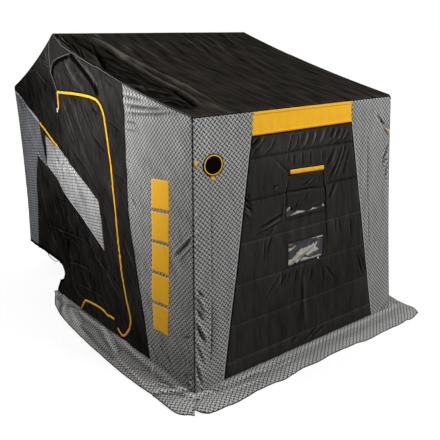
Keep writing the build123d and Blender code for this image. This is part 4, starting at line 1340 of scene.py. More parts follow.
def cross_outline(low, high):
    """The outline of a length of the front, roof and rear wall, out to both sides."""
    run = np.linspace(low, high, max(2, int((high - low) / 25)))
    right = np.stack([width_at(run), run], -1)
    return np.vstack([right, (right * [-1, 1])[::-1]])


def quilt_bulge(spots):
    """The filling of the front's quilted rows, fullest between their seams."""
    x, z = spots[:, 0], spots[:, 1] / run_of_front(1.0)
    rows = [0, *[row for row, _ in QUILT_ROWS[::-1]], BANNER_FOOT]
    total = np.zeros(len(spots))
    for low, high in zip(rows, rows[1:]):
        t = np.clip((z - low) / (high - low), 0, 1)
        total += 6.5 * np.sqrt(np.clip(4 * t * (1 - t), 0, 1)) * ((z >= low) & (z < high))
    side = CENTER_TOP + (BANNER_FOOT - z) * (CENTER_FOOT - CENTER_TOP) / BANNER_FOOT - np.abs(x)
    return total * smooth_step(side / 34) * (z < BANNER_FOOT)


def shell_surface():
    """The front, roof and rear wall with their seams, folds, and painted light and shade."""
    seams = [(line, 2.2, 1.7) for line in QUILT_SEAMS]
    seams += [(line, 1.6, 0.9) for line in (*WINDOW_SEAMS, *CENTER_SIDES)]
    seams += [(BANNER_SEAM, 1.2, 1.2), *[(outline, 1.2, 1.6) for outline in WINDOW_OUTLINES]]
    folds = {}
    for drawn, laid in ((FRONT_FOLDS, on_front), (ROOF_FOLDS, on_roof)):
        for size, lines in drawn.items():
            folds.setdefault(size, []).extend(laid(line) for line in lines)
    shades = [((x, run_of_roof(y)), reach, amount) for (x, y), reach, amount in ROOF_SHADES]
    shades += [((x, run_of_front(z)), reach, amount) for (x, z), reach, amount in FRONT_SHADES]
    return CrossSurface(
        seams=seams,
        folds=folds,
        slack=[(3.0, 80, 420, 170, 3), (1.1, 86, 260, 42, 4), (0.5, 97, 120, 18, 5)],
        bulge=quilt_bulge,
        shades=shades,
        # The lower quilt seams get a painted highlight along their edges.
        edges=QUILT_SEAMS[2:],
        areas=[(on_roof(ROOF_PAINTED_SHADE), -0.6)],
    )


def side_surface(hand, seed):
    """A side with its seams, folds, painted light and shade, and its own slack."""
    seams = [
        (CORNER_SEAM, 2.0, 1.6),
        (ZIP_LINE, 0.4, 2.2),
        (LOW_ZIP, 0.4, 2.0),
        (DOOR_BACK_SEAM, 1.4, 1.4),
        (closed(SLASH_OUTLINE), 2.0, 2.2),
        (WEDGE_LINE, 2.0, 2.0),
        (STRIP_LINE, 1.6, 1.4),
        (HEM_TOP, 1.0, 1.6),
        (BACK_ZIP, 0.4, 1.5),
    ]
    slack = [(5.0, 62, 460, 190), (2.0, 56, 210, 62), (0.8, 52, 100, 24), (0.5, 96, 90, 16)]
    return SideSurface(
        hand=hand,
        turned=hand < 0,
        seams=seams,
        folds=SIDE_FOLDS,
        slack=[(*facts, seed + count) for count, facts in enumerate(slack)],
        shades=SIDE_SHADES,
        strokes=SIDE_SHADE_STROKES,
    )


SHELL = shell_surface()
SIDES = {"left": side_surface(-1, 20), "right": side_surface(1, 50)}


# --- Skirts

SKIRT_LEFT = [(-869, -188), (-926, -114), (-932, 83), (-944, 308), (-940, 625), (-929, 891)]
SKIRT_LEFT += [(-912, 1116), (-871, 1346), (-795, 1527), (-778, 1575)]
SKIRT_RIGHT = [(822, -212), (851, -164), (859, -93), (886, 60), (928, 240), (938, 620), (930, 900)]
SKIRT_RIGHT += [(912, 1116), (872, 1346), (795, 1527), (778, 1575)]
SKIRT_FRONT = [(-847, -159), (-828, -205), (-800, -221), (-752, -224), (-640, -231), (-525, -220)]
SKIRT_FRONT += [(-408, -223), (-334, -231), (-187, -214), (-94, -222), (32, -215), (236, -222)]
SKIRT_FRONT += [(295, -236), (455, -230), (623, -234), (677, -227), (721, -236), (800, -216), (822, -212)]


def skirt_reach(spots):
    """How far spots on the ground lie outside the walls' feet."""
    foot = half_width(spots[:, 1], np.zeros(len(spots)))
    sideways = np.abs(spots[:, 0]) - foot
    ahead = -FEET - spots[:, 1]
    corner = (sideways > 0) & (ahead > 0)
    return np.where(corner, np.hypot(sideways, ahead), np.maximum(sideways, ahead))


def skirt_bulge(spots):
    """The skirt's section: a roll beside the wall, a crease, then a flatter wavy flap."""
    t = skirt_reach(spots) / SKIRT_WIDTH
    u, v = spots[:, 0], spots[:, 1]
    wave = rumple(u / 150, v / 150, 71)
    roll = 10 * np.exp(-(((t - 0.2) / 0.13) ** 2))
    flap = 9 * np.exp(-(((t - 0.72) / 0.24) ** 2)) * (1 + 0.6 * wave)
    crease = -3.0 * np.exp(-(((t - 0.4) / 0.035) ** 2))
    fine = 2.2 * rumple(u / 46, v / 46, 72) + 1.0 * rumple(u / 17, v / 17, 73)
    tail = smooth_step((v - 1150) / 300)
    return 5 + roll * (1 + 0.25 * wave) + flap + crease + fine + tail * 9 * rumple(u / 60, v / 60, 74)


# The skirts carry painted lines of shade and highlight, and painted light on their roll.
SKIRTS = SkirtSurface(folds=SKIRT_FOLDS, bulge=skirt_bulge, strokes=SKIRT_SHADE_STROKES)


# --- Finishes, made once and shared

# Each finish's slot in the part's materials, and how it is made from the colours.
MAKERS = {
    "light": ("light_fabric", lambda c: tread_cloth("Tread print cloth", c.light, c.dash)),
    "light_edge": ("light_fabric", lambda c: tape_cloth("Light edge tape", scaled(c.light, 1.15, COOL))),
    "skirt": (
        "skirt_fabric",
        lambda c: tread_cloth("Skirt print cloth", scaled(c.light, 1.3), scaled(c.dash, 1.6)),
    ),
    # A copy of the print cloth painted paler, as painted light on the slash panel.
    "slash": (
        "light_fabric",
        lambda c: tread_cloth("Print cloth with painted light", scaled(c.light, 1.5), scaled(c.dash, 9)),
    ),
    # A copy of the print cloth painted darker and cooler, as painted shade on the rear panel.
    "shade": (
        "light_fabric",
        lambda c: tread_cloth("Print cloth in painted shade", scaled(c.light, 0.66, COOL), scaled(c.dash, 4)),
    ),
    "roof": (
        "roof_fabric",
        lambda c: coated_cloth("Coated roof cloth", scaled(c.black, 2.5, WARM), 0.4, turn=86, patchy=0.6),
    ),
    "black": (
        "dark_fabric",
        lambda c: coated_cloth("Coated side cloth", scaled(c.black, 2), 0.4, turn=58, patchy=0.6),
    ),
    "quilt": (
        "quilted_fabric",
        lambda c: coated_cloth("Quilted cloth", scaled(c.black, 2.5), 0.46, 0.006, turn=70, patchy=0.5),
    ),
    "amber": ("amber_tape", lambda c: tape_cloth("Amber tape", c.amber)),
    "edge": ("hem_binding", lambda c: tape_cloth("Black edge tape", scaled(c.black, 0.35), gloss=0.0)),
    # Pale piping: its highlight is painted into its colour.
    "piping": ("roof_fabric", lambda c: coated_cloth("Piping painted pale for its highlight", tone(106, 106, 108))),
    "selvedge": ("quilted_fabric", lambda c: coated_cloth("Seam edge", tone(78, 77, 74))),
    "zip": ("amber_tape", lambda c: tape_cloth("Zip tape", tone(255, 185, 18))),
    "film": ("window_film", lambda c: window_film()),
    "tube": ("pole_tube", lambda c: drawn_tube()),
    "nylon": ("moulded_fittings", lambda c: moulded_nylon()),
    "steel": ("bolt_steel", lambda c: plated_steel()),
    "pull": ("moulded_fittings", lambda c: pale_nylon()),
    "cord": ("cord", lambda c: elastic_braid()),
}
FINISHES = {}


def finish_of(name):
    """The named finish, made when it is first asked for."""
    if name not in FINISHES:
        FINISHES[name] = MAKERS[name][1](bpy.context.scene.hut_colours)
    return FINISHES[name]


def drawn_tube():
    tube = Finish("Drawn tube", Metallic=1.0)
    streak = tube.noise(tube.solid(), 60.0, 3.0, stretch=(3.3, 1.0, 1.0))
    tube.feed(Base_Color=tube.mix(streak, tone(150, 152, 156), tone(190, 192, 196)))
    tube.feed(Roughness=0.28 + streak * 0.16)
    tube.bump(streak, 0.1, 0.0003)
    return tube.material


def moulded_nylon():
    nylon = Finish("Moulded nylon", Specular_IOR_Level=0.4)
    grain = nylon.noise(nylon.solid(), 700.0, 2.0)
    nylon.feed(Base_Color=nylon.mix(grain, tone(26, 26, 27), tone(40, 40, 41)))
    nylon.feed(Roughness=0.5 + grain * 0.15)
    nylon.bump(grain, 0.2, 0.0003)
    return nylon.material


def pale_nylon():
    pull = Finish("Pale pull", Roughness=0.45)
    speck = pull.noise(pull.solid(), 500.0, 2.0)
    pull.feed(Base_Color=pull.mix(speck, tone(226, 224, 216), tone(240, 238, 232)))
    return pull.material


def elastic_braid():
    cord = Finish("Elastic cord", Sheen_Weight=0.1, Specular_IOR_Level=0.1)
    sockets = {"Vector": cord.solid(), "Scale": 420.0, "Distortion": 0.6}
    braid = cord.node("ShaderNodeTexWave", {"bands_direction": "DIAGONAL"}, sockets)
    cord.feed(Base_Color=cord.mix(braid, tone(164, 88, 22), tone(212, 128, 50)))
    cord.feed(Roughness=0.6 + braid * 0.2)
    cord.bump(braid, 0.4, 0.0004)
    return cord.material


def plated_steel():
    steel = Finish("Zinc plated steel", Metallic=1.0)
    spangle = steel.node("ShaderNodeTexVoronoi", {}, {"Vector": steel.solid(), "Scale": 160.0})
    steel.feed(Base_Color=steel.mix(spangle, tone(140, 143, 148), tone(188, 190, 192)))
    steel.feed(Roughness=0.3 + spangle * 0.2)
    return steel.material


def window_film():
    """Clear flexible film, coloured dark as painted shade for the hut's dark inside behind it, and pale as a
    painted reflection where it bows to the light.
    """
    finish = Finish("Window film", Coat_Weight=0.25, Coat_Roughness=0.12, Specular_IOR_Level=0.1)
    smear = finish.noise(finish.flat(), 34.0, 3.0)
    crease = finish.crease()
    dark = finish.mix(smear, tone(14, 15, 20), tone(44, 46, 54))
    pale = finish.mix(smear, tone(128, 122, 108), tone(204, 200, 186))
    finish.feed(Base_Color=finish.mix(crease.limited(), dark, pale))
    finish.feed(Roughness=0.16 + smear * 0.16)
    return finish.material


# --- Settings


class HutColours(bpy.types.PropertyGroup):
    light: bpy.props.FloatVectorProperty(
        name="Light cloth", description="Ground of the printed cloth", subtype="COLOR", size=4,
        default=tone(165, 165, 163), min=0, max=1,
    )
    dash: bpy.props.FloatVectorProperty(
        name="Dashes", description="Dashes printed on the light cloth", subtype="COLOR", size=4,
        default=tone(18, 19, 23), min=0, max=1,
    )
    black: bpy.props.FloatVectorProperty(
        name="Black cloth", description="Roof, quilted front and dark side panels", subtype="COLOR", size=4,
        default=tone(28, 27, 26), min=0, max=1,
    )
    amber: bpy.props.FloatVectorProperty(
        name="Amber trim", description="Banner, zips and tapes", subtype="COLOR", size=4,
        default=tone(255, 186, 42), min=0, max=1,
    )


class HutSizes(bpy.types.PropertyGroup):
    fine: bpy.props.FloatProperty(
        name="Fine cloth step", description="Spacing of the mesh on the front and left side, in millimetres",
        default=7.5, min=4.0, max=40.0,
    )
    coarse: bpy.props.FloatProperty(
        name="Plain cloth step", description="Spacing of the mesh on the other cloth, in millimetres",
        default=12.2, min=6.0, max=60.0,
    )
    piping: bpy.props.FloatProperty(
        name="Piping radius", description="Radius of the piping in the seams, in millimetres",
        default=2.6, min=1.0, max=6.0,
    )


# --- Operators


# Softboxes: name, place, size in metres and power in watts.
SOFTBOXES = (
    ("Side softbox", (-1.42, -0.03, 1.45), 1.2, 16.5),
    ("Front softbox", (1.87, -5.22, 4.29), 2.0, 300),
    ("Rear softbox", (0.35, 3.7, 1.5), 1.6, 70),
)
CAMERA_PLACE, CAMERA_LENS = (-2.217, -3.082, 1.640), 48.89
CAMERA_YAW, CAMERA_PITCH, CAMERA_ROLL = 37.999, -16.695, -0.999  # degrees


class HutStage(bpy.types.Operator):
    """Makes the floor, the lamps, the background and the camera"""

    bl_idname = "hut.stage"
    bl_label = "Stage"

    def execute(self, context):
        scene = context.scene
        scene.view_settings.view_transform = "Standard"
        self.floor()
        self.world(scene)
        for facts in SOFTBOXES:
            self.softbox(*facts)
        self.camera(scene)
        return {"FINISHED"}

    def floor(self):
        """A floor that looks white from the camera, and glows less near the hut, so its shadow shows."""
        finish = Finish("Pale floor", Roughness=0.9, Specular_IOR_Level=0.0)
        speck = finish.noise(finish.solid(), 3.0, 2.0)
        finish.feed(Base_Color=finish.mix(speck, tone(150, 150, 150), tone(156, 156, 156)))
        far = finish.node("ShaderNodeVectorMath", {"operation": "LENGTH"}, {0: finish.solid()}, 1)
        strength = self.seen(finish) * (0.8 + ((far - 1.2) * 0.6).limited() * 0.2)
        glow = finish.node("ShaderNodeEmission", {}, {"Color": WHITE, "Strength": strength})
        total = finish.node("ShaderNodeAddShader", {}, {0: Wire(finish, finish.shader.outputs[0]), 1: glow})
        finish.tree.links.new(total.socket, finish.output.inputs[0])
        only()
        bpy.ops.mesh.primitive_plane_add(size=60)
        plane = bpy.context.object
        plane.name = "floor"
        plane.data.materials.append(finish.material)

    def seen(self, finish):
        """1 for what the camera sees, in a mirror or through glass too, and 0 for light that bounces."""
        kinds = ("Is Camera Ray", "Is Glossy Ray", "Is Transmission Ray")
        rays = [finish.node("ShaderNodeLightPath", output=kind) for kind in kinds]
        return (rays[0] + rays[1] + rays[2]).limited()

    def world(self, scene):
        world = bpy.data.worlds.new("Studio")
        world.use_nodes = True
        world.node_tree.nodes.clear()
        sky = Finish.on(world.node_tree)
        strength = self.seen(sky) * 0.95 + 0.05
        back = sky.node("ShaderNodeBackground", {}, {"Color": WHITE, "Strength": strength})
        output = world.node_tree.nodes.new("ShaderNodeOutputWorld")
        world.node_tree.links.new(back.socket, output.inputs[0])
        scene.world = world

    def softbox(self, name, place, size, power):
        lamp = bpy.data.lights.new(name, "AREA")
        lamp.size = size
        lamp.energy = power
        holder = bpy.data.objects.new(name, lamp)
        holder.location = place
        holder.rotation_euler = (Vector((0, 0, 0.8)) - Vector(place)).to_track_quat("-Z", "Y").to_euler()
        holder.visible_camera = False
        bpy.context.collection.objects.link(holder)

    def camera(self, scene):
        yaw, pitch, roll = [math.radians(angle) for angle in (CAMERA_YAW, CAMERA_PITCH, CAMERA_ROLL)]
        forward = Vector((math.sin(yaw) * math.cos(pitch), math.cos(yaw) * math.cos(pitch), math.sin(pitch)))
        right = Vector((math.cos(yaw), -math.sin(yaw), 0))
        up = right.cross(forward)
        right, up = (
            right * math.cos(roll) + up * math.sin(roll),
            up * math.cos(roll) - right * math.sin(roll),
        )
        camera = bpy.data.cameras.new("Camera")
        camera.lens = CAMERA_LENS
        camera.sensor_width = 36
        holder = bpy.data.objects.new("Camera", camera)
        turn = Matrix((right, up, -forward)).transposed().to_4x4()
        holder.matrix_world = Matrix.Translation(CAMERA_PLACE) @ turn
        bpy.context.collection.objects.link(holder)
        scene.camera = holder


# The cord's route in Y and Z, and its length and thickness in metres.
CORD_ROUTE = ((1733, 252), (1727, 235), (1703, 220), (1655, 211), (1600, 212), (1562, 223), (1539, 241))
CORD_LENGTH, CORD_THICKNESS = 0.217, 0.005


class HutHemCord(bpy.types.Operator):
    """Lays the elastic cord in its loop under the left hem"""

    bl_idname = "hut.hem_cord"
    bl_label = "Hem cord"

    def execute(self, context):
        x = sum(corner.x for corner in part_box("hem_cord")) / 2 * 1000
        points = placed([(x, y, z) for y, z in CORD_ROUTE])
        curve = bpy.data.curves.new("hem_cord_line", "CURVE")
        curve.dimensions = "3D"
        curve.bevel_depth = CORD_THICKNESS / 2
        curve.bevel_resolution = 5
        curve.use_fill_caps = True
        spline = curve.splines.new("NURBS")
        spline.points.add(len(points) - 1)
        for place, point in zip(spline.points, points):
            place.co = (*point, 1.0)
        spline.order_u = 3
        spline.use_endpoint_u = True
        spline.resolution_u = 12
        curve.materials.append(finish_of("cord"))
        cord = bpy.data.objects.new("hem_cord_loop", curve)
        context.collection.objects.link(cord)
        own(cord, "cord", "hem_cord")
        return {"FINISHED"}


# Each side's panels: part, outline or None for the rest, and finish.
SIDE_PANELS = (
    ("hem_binding", HEM_OUTLINE, "edge"),
    ("corner_panel", CORNER_OUTLINE, "light"),
    ("slash_panel", SLASH_OUTLINE, "slash"),
    ("door_panel", DOOR_OUTLINE, "black"),
    ("rear_panel", REAR_OUTLINE, "shade"),
    ("lower_panel", LOWER_OUTLINE, "black"),
    ("upper_panel", None, "black"),
)
LEFT_HALF = rectangle(-1000, -100, 0, 9000)


class HutSides(bpy.types.Operator):
    """Cuts both sides from their cloths"""

    bl_idname = "hut.sides"
    bl_label = "Side panels"

    def execute(self, context):
        sizes = context.scene.hut_sizes
        seams = [CORNER_SEAM[1:], ZIP_LINE, LOW_ZIP, DOOR_BACK_SEAM, closed(SLASH_OUTLINE)]
        seams += [WEDGE_LINE[1:], STRIP_LINE, HEM_TOP]
        for hand, step in (("left", sizes.fine), ("right", sizes.coarse)):
            regions = [(f"{hand}_{part}", outline, finish) for part, outline, finish in SIDE_PANELS]
            cloth_panels(SIDES[hand], SIDE_OUTLINE, seams, step, regions)
        return {"FINISHED"}


class HutFront(bpy.types.Operator):
    """Cuts the quilted front with its banner and the light panels beside it"""

    bl_idname = "hut.front"
    bl_label = "Front wall"

    def execute(self, context):
        seams = [*QUILT_SEAMS, *CENTER_SIDES, *WINDOW_SEAMS[:2], BANNER_SEAM, *WINDOW_OUTLINES]
        regions = [
            ("upper_window_hole", UPPER_WINDOW, None),
            ("lower_window_hole", LOWER_WINDOW, None),
            ("front_center_panel", CENTER_OUTLINE, "quilt"),
            ("front_banner", BANNER_OUTLINE, "amber"),
            ("front_left_panel", LEFT_HALF, "light"),
            ("front_right_panel", None, "light"),
        ]
        outline = cross_outline(0, FRONT_SEAM)
        cloth_panels(SHELL, outline, seams, context.scene.hut_sizes.fine, regions)
        return {"FINISHED"}


class HutRoof(bpy.types.Operator):
    """Cuts both roof panels, which sag between the bows"""

    bl_idname = "hut.roof"
    bl_label = "Roof"

    def execute(self, context):
        sizes = context.scene.hut_sizes
        for node, low, high, step in (
            ("roof_front", FRONT_SEAM, RIDGE_SEAM, (sizes.fine + sizes.coarse) / 2),
            ("roof_rear", RIDGE_SEAM, REAR_SEAM, sizes.coarse),
        ):
            cloth_panels(SHELL, cross_outline(low, high), [], step, [(node, None, "roof")])
        return {"FINISHED"}


class HutRearWall(bpy.types.Operator):
    """Cuts the rear wall: a dark middle, a light band up each side and its hem binding"""

    bl_idname = "hut.rear_wall"
    bl_label = "Rear wall"

    def execute(self, context):
        hem = HEM_RUN - HEM_TAPE
        seams = [[(side, REAR_SEAM), (side, hem)] for side in (-REAR_HALF, REAR_HALF)]
        seams.append([(-750, hem), (750, hem)])
        regions = [
            ("rear_hem_binding", rectangle(-900, hem, 900, hem + 40), "edge"),
            ("rear_center_panel", rectangle(-REAR_HALF, REAR_SEAM - 9, REAR_HALF, hem), "black"),
            ("rear_left_band", LEFT_HALF, "light"),
            ("rear_right_band", None, "light"),
        ]
        outline = cross_outline(REAR_SEAM, HEM_RUN)
        cloth_panels(SHELL, outline, seams, context.scene.hut_sizes.coarse, regions)
        return {"FINISHED"}


class HutSkirts(bpy.types.Operator):
    """Lays the three ground skirts"""

    bl_idname = "hut.skirts"
    bl_label = "Ground skirts"

    def execute(self, context):
        step = context.scene.hut_sizes.coarse * 0.8
        for node, outline in self.outlines().items():
            cloth_panels(SKIRTS, outline, [], step, [(node, None, "skirt")], SKIRT_CLOTH)
        return {"FINISHED"}

    def outlines(self):
        """Each skirt's outline, from its edge in to the walls' feet."""
        feet = [(half_width(y, 0) - 10, y) for y in (1575, 1200, 800, 400, 0, -30)]
        left = np.vstack([curved(SKIRT_LEFT, 14), [(-x, y) for x, y in feet]])
        right = np.vstack([curved(SKIRT_RIGHT, 14), feet])
        front = np.vstack([curved(SKIRT_FRONT, 14), [(752, -31), (-752, -31)]])
        return {"left_skirt": left, "right_skirt": right, "front_skirt": front}


class HutFrame(bpy.types.Operator):
    """Gives the pole bows, brackets, bolts and small moulded parts their finishes"""

    bl_idname = "hut.frame"
    bl_label = "Pole frame"

    def execute(self, context):
        looks = {
            "tube": ["base_bow", "front_bow", "ridge_bow", "rear_bow"],
            "nylon": ["bow_elbows", "leg_eyes", "hem_cord_sleeves"],
            "steel": [f"{hand}_pivot_{part}" for hand in ("left", "right") for part in ("bracket", "bolt")],
        }
        for finish, nodes in looks.items():
            for node in nodes:
                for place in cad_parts[node].material_slots:
                    place.material = finish_of(finish)
        return {"FINISHED"}


class FilmSurface(CrossSurface):
    """A window pane: film held at its outline, with sharp crinkles between, and a painted reflection, pale,
    where it bows.
    """

    def height(self, spots):
        free = smooth_step(near(spots, self.outline)[0] / 16)
        total = fold_heights(spots, self.folds)
        for height, angle, long, wide, seed in self.slack:
            total += height * leaning(spots, angle, long, wide, seed)
        return SHELL.height(spots) - 3.0 + (total + 2.0) * free

    def crease(self, spots):
        # Painted reflection: 1 inside the glare outlines, less in the crinkles' hollows.
        pale = [inside(spots, on_front(outline)) for outline in self.pale]
        return np.any(pale, axis=0) - 0.8 * (fold_heights(spots, self.folds, plain=True) < -0.4)


class HutWindows(bpy.types.Operator):
    """Fits both film windows, the flap over the upper one and the strip sewn above it"""

    bl_idname = "hut.windows"
    bl_label = "Windows"

    def execute(self, context):
        for node, outline, crinkles, pale, seed in (
            ("upper_window", UPPER_WINDOW, UPPER_CRINKLES, UPPER_PAINTED_GLARE, 81),
            ("lower_window", LOWER_WINDOW, LOWER_CRINKLES, LOWER_PAINTED_GLARE, 84),
        ):
            slack = [(1.2, 48, 90, 24, seed), (0.4, 30, 40, 12, seed + 1)]
            folds = self.laid(crinkles)
            pane = FilmSurface(outline=closed(outline), folds=folds, pale=pale, slack=slack)
            cloth_panels(pane, outline, [], FILM_STEP, [(node, None, "film")], FILM)
        self.flap(on_front(FLAP))
        self.borders()
        self.strip()
        self.snap()
        return {"FINISHED"}

    def laid(self, folds):
        return {size: [on_front(line) for line in lines] for size, lines in folds.items()}

    def flap(self, outline):
        """The blind, hung from the strip, its lower edge crumpled over the film."""
        spots, faces, areas = cut_out(outline, [], 4)
        drop = np.clip((run_of_front(FLAP[0][1]) - spots[:, 1]) / 190, 0, 1)
        folds = self.laid(FLAP_FOLDS)
        lift = 2.5 + 3 * drop + fold_heights(spots, folds) + 2.0 * drop * leaning(spots, 60, 70, 20, 88)
        points = placed(SHELL.at(spots, lift))
        piece = new_piece("upper_window_flap", points, faces, "quilt", spots)
        # Painted shade in the flap's hollows and painted highlight on its folds, the whole a little darker.
        mark_painted_light(piece, np.clip(fold_heights(spots, folds, plain=True) - 0.15, -1, 1))
        thickened(piece, 1.6)
        own(piece, "quilted_fabric")
        # The declared size is typed in. The outline itself measures 0.198 by 0.289.
        float(areas.sum() / 1e6)

    def borders(self):
        """The bound edges of both windows, the edges of the seams down the flap's sides, and a black band
        down its right side as painted shadow.
        """
        skins = []
        for line in WINDOW_OUTLINES:
            for start, end in zip(line, line[1:]):
                along = (end - start) / np.linalg.norm(end - start)
                skins.append(band(SHELL, [start - along * 3, end + along * 3], 6, 1.0, 0.6))
        gathered("window_borders", skins, "quilt")
        lines = [
            on_front([(-132, 977), (-144, 925), (-151, 876), (-164, 790)]),
            on_front([(134, 972), (143, 925), (157, 870), (159, 780)]),
        ]
        edges = [band(SHELL, line, 4.5, 0.6, 1.2) for line in lines]
        gathered("window_seam_edges", edges, "selvedge")
        # A black band down the upper window's right side: painted shadow.
        line = on_front([(124, 976), (136, 918), (148, 872), (151, 825), (151, 764)])
        gathered("window_side_shadow_band", [band(SHELL, line, 12, 2.4, 0.6)], "edge")

    def strip(self):
        """The amber strip over the upper window, its stitching, and dark bands along it, the lower one a
        painted shadow under the strip.
        """
        line = on_front([(-117, 999), (129, 990)])
        skins = [band(SHELL, line, 23, 3.0, 1.4, sink=-0.5)]
        gathered("window_strip_tape", skins, "zip", "window_strip")
        stitch = [band(SHELL, line + [(3, 0), (-3, 0)], 4, 4.6, 0.3)]
        gathered("window_strip_stitch", stitch, "amber")
        # Dark bands below and above the strip: the one below is painted shadow.
        below = band(SHELL, line + [(-4, -8), (4, -8)], 18, 1.2, 0.4)
        above = band(SHELL, line + [(-4, 8), (4, 8)], 16, 1.0, 0.4)
        gathered("window_strip_shadow_and_edge", [below, above], "edge")

    def snap(self):
        """A pressed steel snap at the lower window's corner."""
        place = placed(SHELL.at(on_front([(94, 493)]), 2.0))[0]
        only()
        bpy.ops.mesh.primitive_uv_sphere_add(
            segments=20, ring_count=12, radius=0.006, location=place, rotation=(math.pi / 2, 0, 0)
        )
        bpy.ops.object.mode_set(mode="EDIT")
        bpy.ops.mesh.select_all(action="SELECT")
        bpy.ops.transform.resize(value=(1, 0.45, 1), center_override=place)
        bpy.ops.object.mode_set(mode="OBJECT")
        finished("window_snap", "steel")


class HutZips(bpy.types.Operator):
    """Sews the zips on both sides: dark tape, amber band, slider and pull"""

    bl_idname = "hut.zips"
    bl_label = "Zips"

    def execute(self, context):
        lines = [ZIP_LINE, LOW_ZIP, BACK_ZIP]
        for hand, surface in SIDES.items():
            tapes = [band(surface, line, ZIP_TAPE, 1.0, 0.4) for line in lines]
            gathered(f"{hand}_zip_tape", tapes, "edge")
            bands = [band(surface, line, ZIP_BAND, 2.0, 2.4) for line in lines]
            gathered(f"{hand}_zip_band", bands, "zip", f"{hand}_door_zip")
            self.slider(hand, surface)
        return {"FINISHED"}

    def slider(self, hand, surface):
        """The zip's slider and its pull, at the upper end."""
        place = Vector(placed(surface.at(np.array([(1330, 1262)], float), 5.0))[0])
        size = (0.007, 0.012, 0.012)
        rounded_block(f"{hand}_zip_slider", place, size, 0.0022, 3, "steel")
        place = place + Vector((surface.hand * 0.004, 0, -0.005))
        size = (0.003, 0.010, 0.024)
        rounded_block(f"{hand}_zip_pull", place, size, 0.0012, 2, "pull")


class HutPiping(bpy.types.Operator):
    """Runs the piping along the bows' corners and the panels' seams"""

    bl_idname = "hut.piping"
    bl_label = "Seam piping"

    def execute(self, context):
        radius = context.scene.hut_sizes.piping
        self.edges(radius)
        self.front(radius)
        for hand, surface in SIDES.items():
            self.side(hand, surface, radius)
        return {"FINISHED"}

    def edges(self, radius):
        """The piping up and over the hut at both sides, and across it at the eaves."""
        skins, pale = [], []
        run = np.linspace(4, HEM_RUN - 4, 520)
        point, _ = profile_at(run)
        for surface in SIDES.values():
            line = SHELL.at(np.stack([surface.hand * width_at(run), run], -1), 0.3)
            low = run < run_of_front(1300)
            skins += [bead(line[low], radius * 0.7), bead(line[~low], radius)]
            # The pale beads over the roof's edge and along the lap are the piping with its highlight painted
            # into its colour.
            roof = (run > run_of_front(EAVE[1])) & (run < run_of_roof(840))
            pale.append(bead(line[roof] + [0, 0, 2.2], radius * 0.8))
            lap = point[(point[:, 0] > LAP[0]) & (point[:, 0] < LAP[1])]
            drop = np.interp(lap[:, 0], [LAP[0], 960, 1100, 1215, LAP[1]], [1, 9, 19, 26, 6])
            pale.append(bead(surface.at(lap - np.stack([0 * drop, drop], -1), 3.2), radius * 0.8))
            skins.append(bead(surface.at(lap - np.stack([0 * drop, drop + 6], -1), 1.0), radius))
        for seam in (FRONT_SEAM, REAR_SEAM):
            reach = width_at(np.array([seam]))[0] - 3
            line = np.stack([np.linspace(-reach, reach, 150), np.full(150, seam)], -1)
            skins.append(bead(SHELL.at(line, -0.4), radius * 0.8))
        gathered("shell_piping", skins, "edge")
        gathered("roof_edge_piping", pale, "piping")

    def front(self, radius):
        """The seams beside the quilted front, with their pale selvedges."""
        skins = [bead(SHELL.at(stepped(line[1:], 8), -0.6), radius * 0.8) for line in CENTER_SIDES]
        pale = []
        for line in CENTER_SIDES:
            out = math.copysign(1, line[1, 0])
            skins.append(band(SHELL, line[1:] - [3 * out, 0], 8, 0.5, 0.5))
            pale.append(band(SHELL, line[1:] + [4 * out, 0], 6, 0.4, 0.5))
        gathered("front_seam_piping", skins, "edge")
        gathered("front_seam_selvedge", pale, "light_edge")

    def side(self, hand, surface, radius):
        """The piping of a side: round the ridge patch, along the selvedges and in the seams."""
        # The piping round the ridge patch and down its seam is painted pale as its highlight.
        lines = [RIDGE_PATCH, RIDGE_SEAM_LINE]
        pale = [bead(surface.at(stepped(line, 6), 3.0), radius * 0.8) for line in lines]
        gathered(f"{hand}_ridge_piping", pale, "piping", slot="dark_fabric")
        edge = [band(surface, [(1350, 758), (1285, 723), (1092, 630), (840, 508)], 7, 0.9, 0.6)]
        edge += [band(surface, [(2119, 1322), (1671, 1156)], 12, 0.9, 0.6)]
        gathered(f"{hand}_slash_selvedge", edge, "light_edge")
        seams = [CORNER_SEAM[6:-2], SLASH_OUTLINE[:7], SLASH_OUTLINE[6:], WEDGE_LINE[1:], STRIP_LINE]
        skins = [bead(surface.at(stepped(line, 8), -0.8), radius * 0.75) for line in seams]
        gathered(f"{hand}_seam_piping", skins, "edge")


class HutBindings(bpy.types.Operator):
    """Binds the skirts' outer edges and the raised hems"""

    bl_idname = "hut.bindings"
    bl_label = "Edge bindings"

    def execute(self, context):
        lines = [stepped(curved(line, 14), 9) for line in (SKIRT_LEFT, SKIRT_FRONT, SKIRT_RIGHT)]
        skins = [bead(SKIRTS.at(line, -1.5), 2.6, 7) for line in lines]
        gathered("skirt_binding", skins, "edge")
        for hand, surface in SIDES.items():
            path = np.vstack([NOTCH, [(1572, 6)]])
            skins = [band(surface, path, 14, 1.2, 1.0), bead(surface.at(stepped(HEM_LINE, 9), -2.0), 2.8, 7)]
            gathered(f"{hand}_hem_edge", skins, "edge")
        return {"FINISHED"}


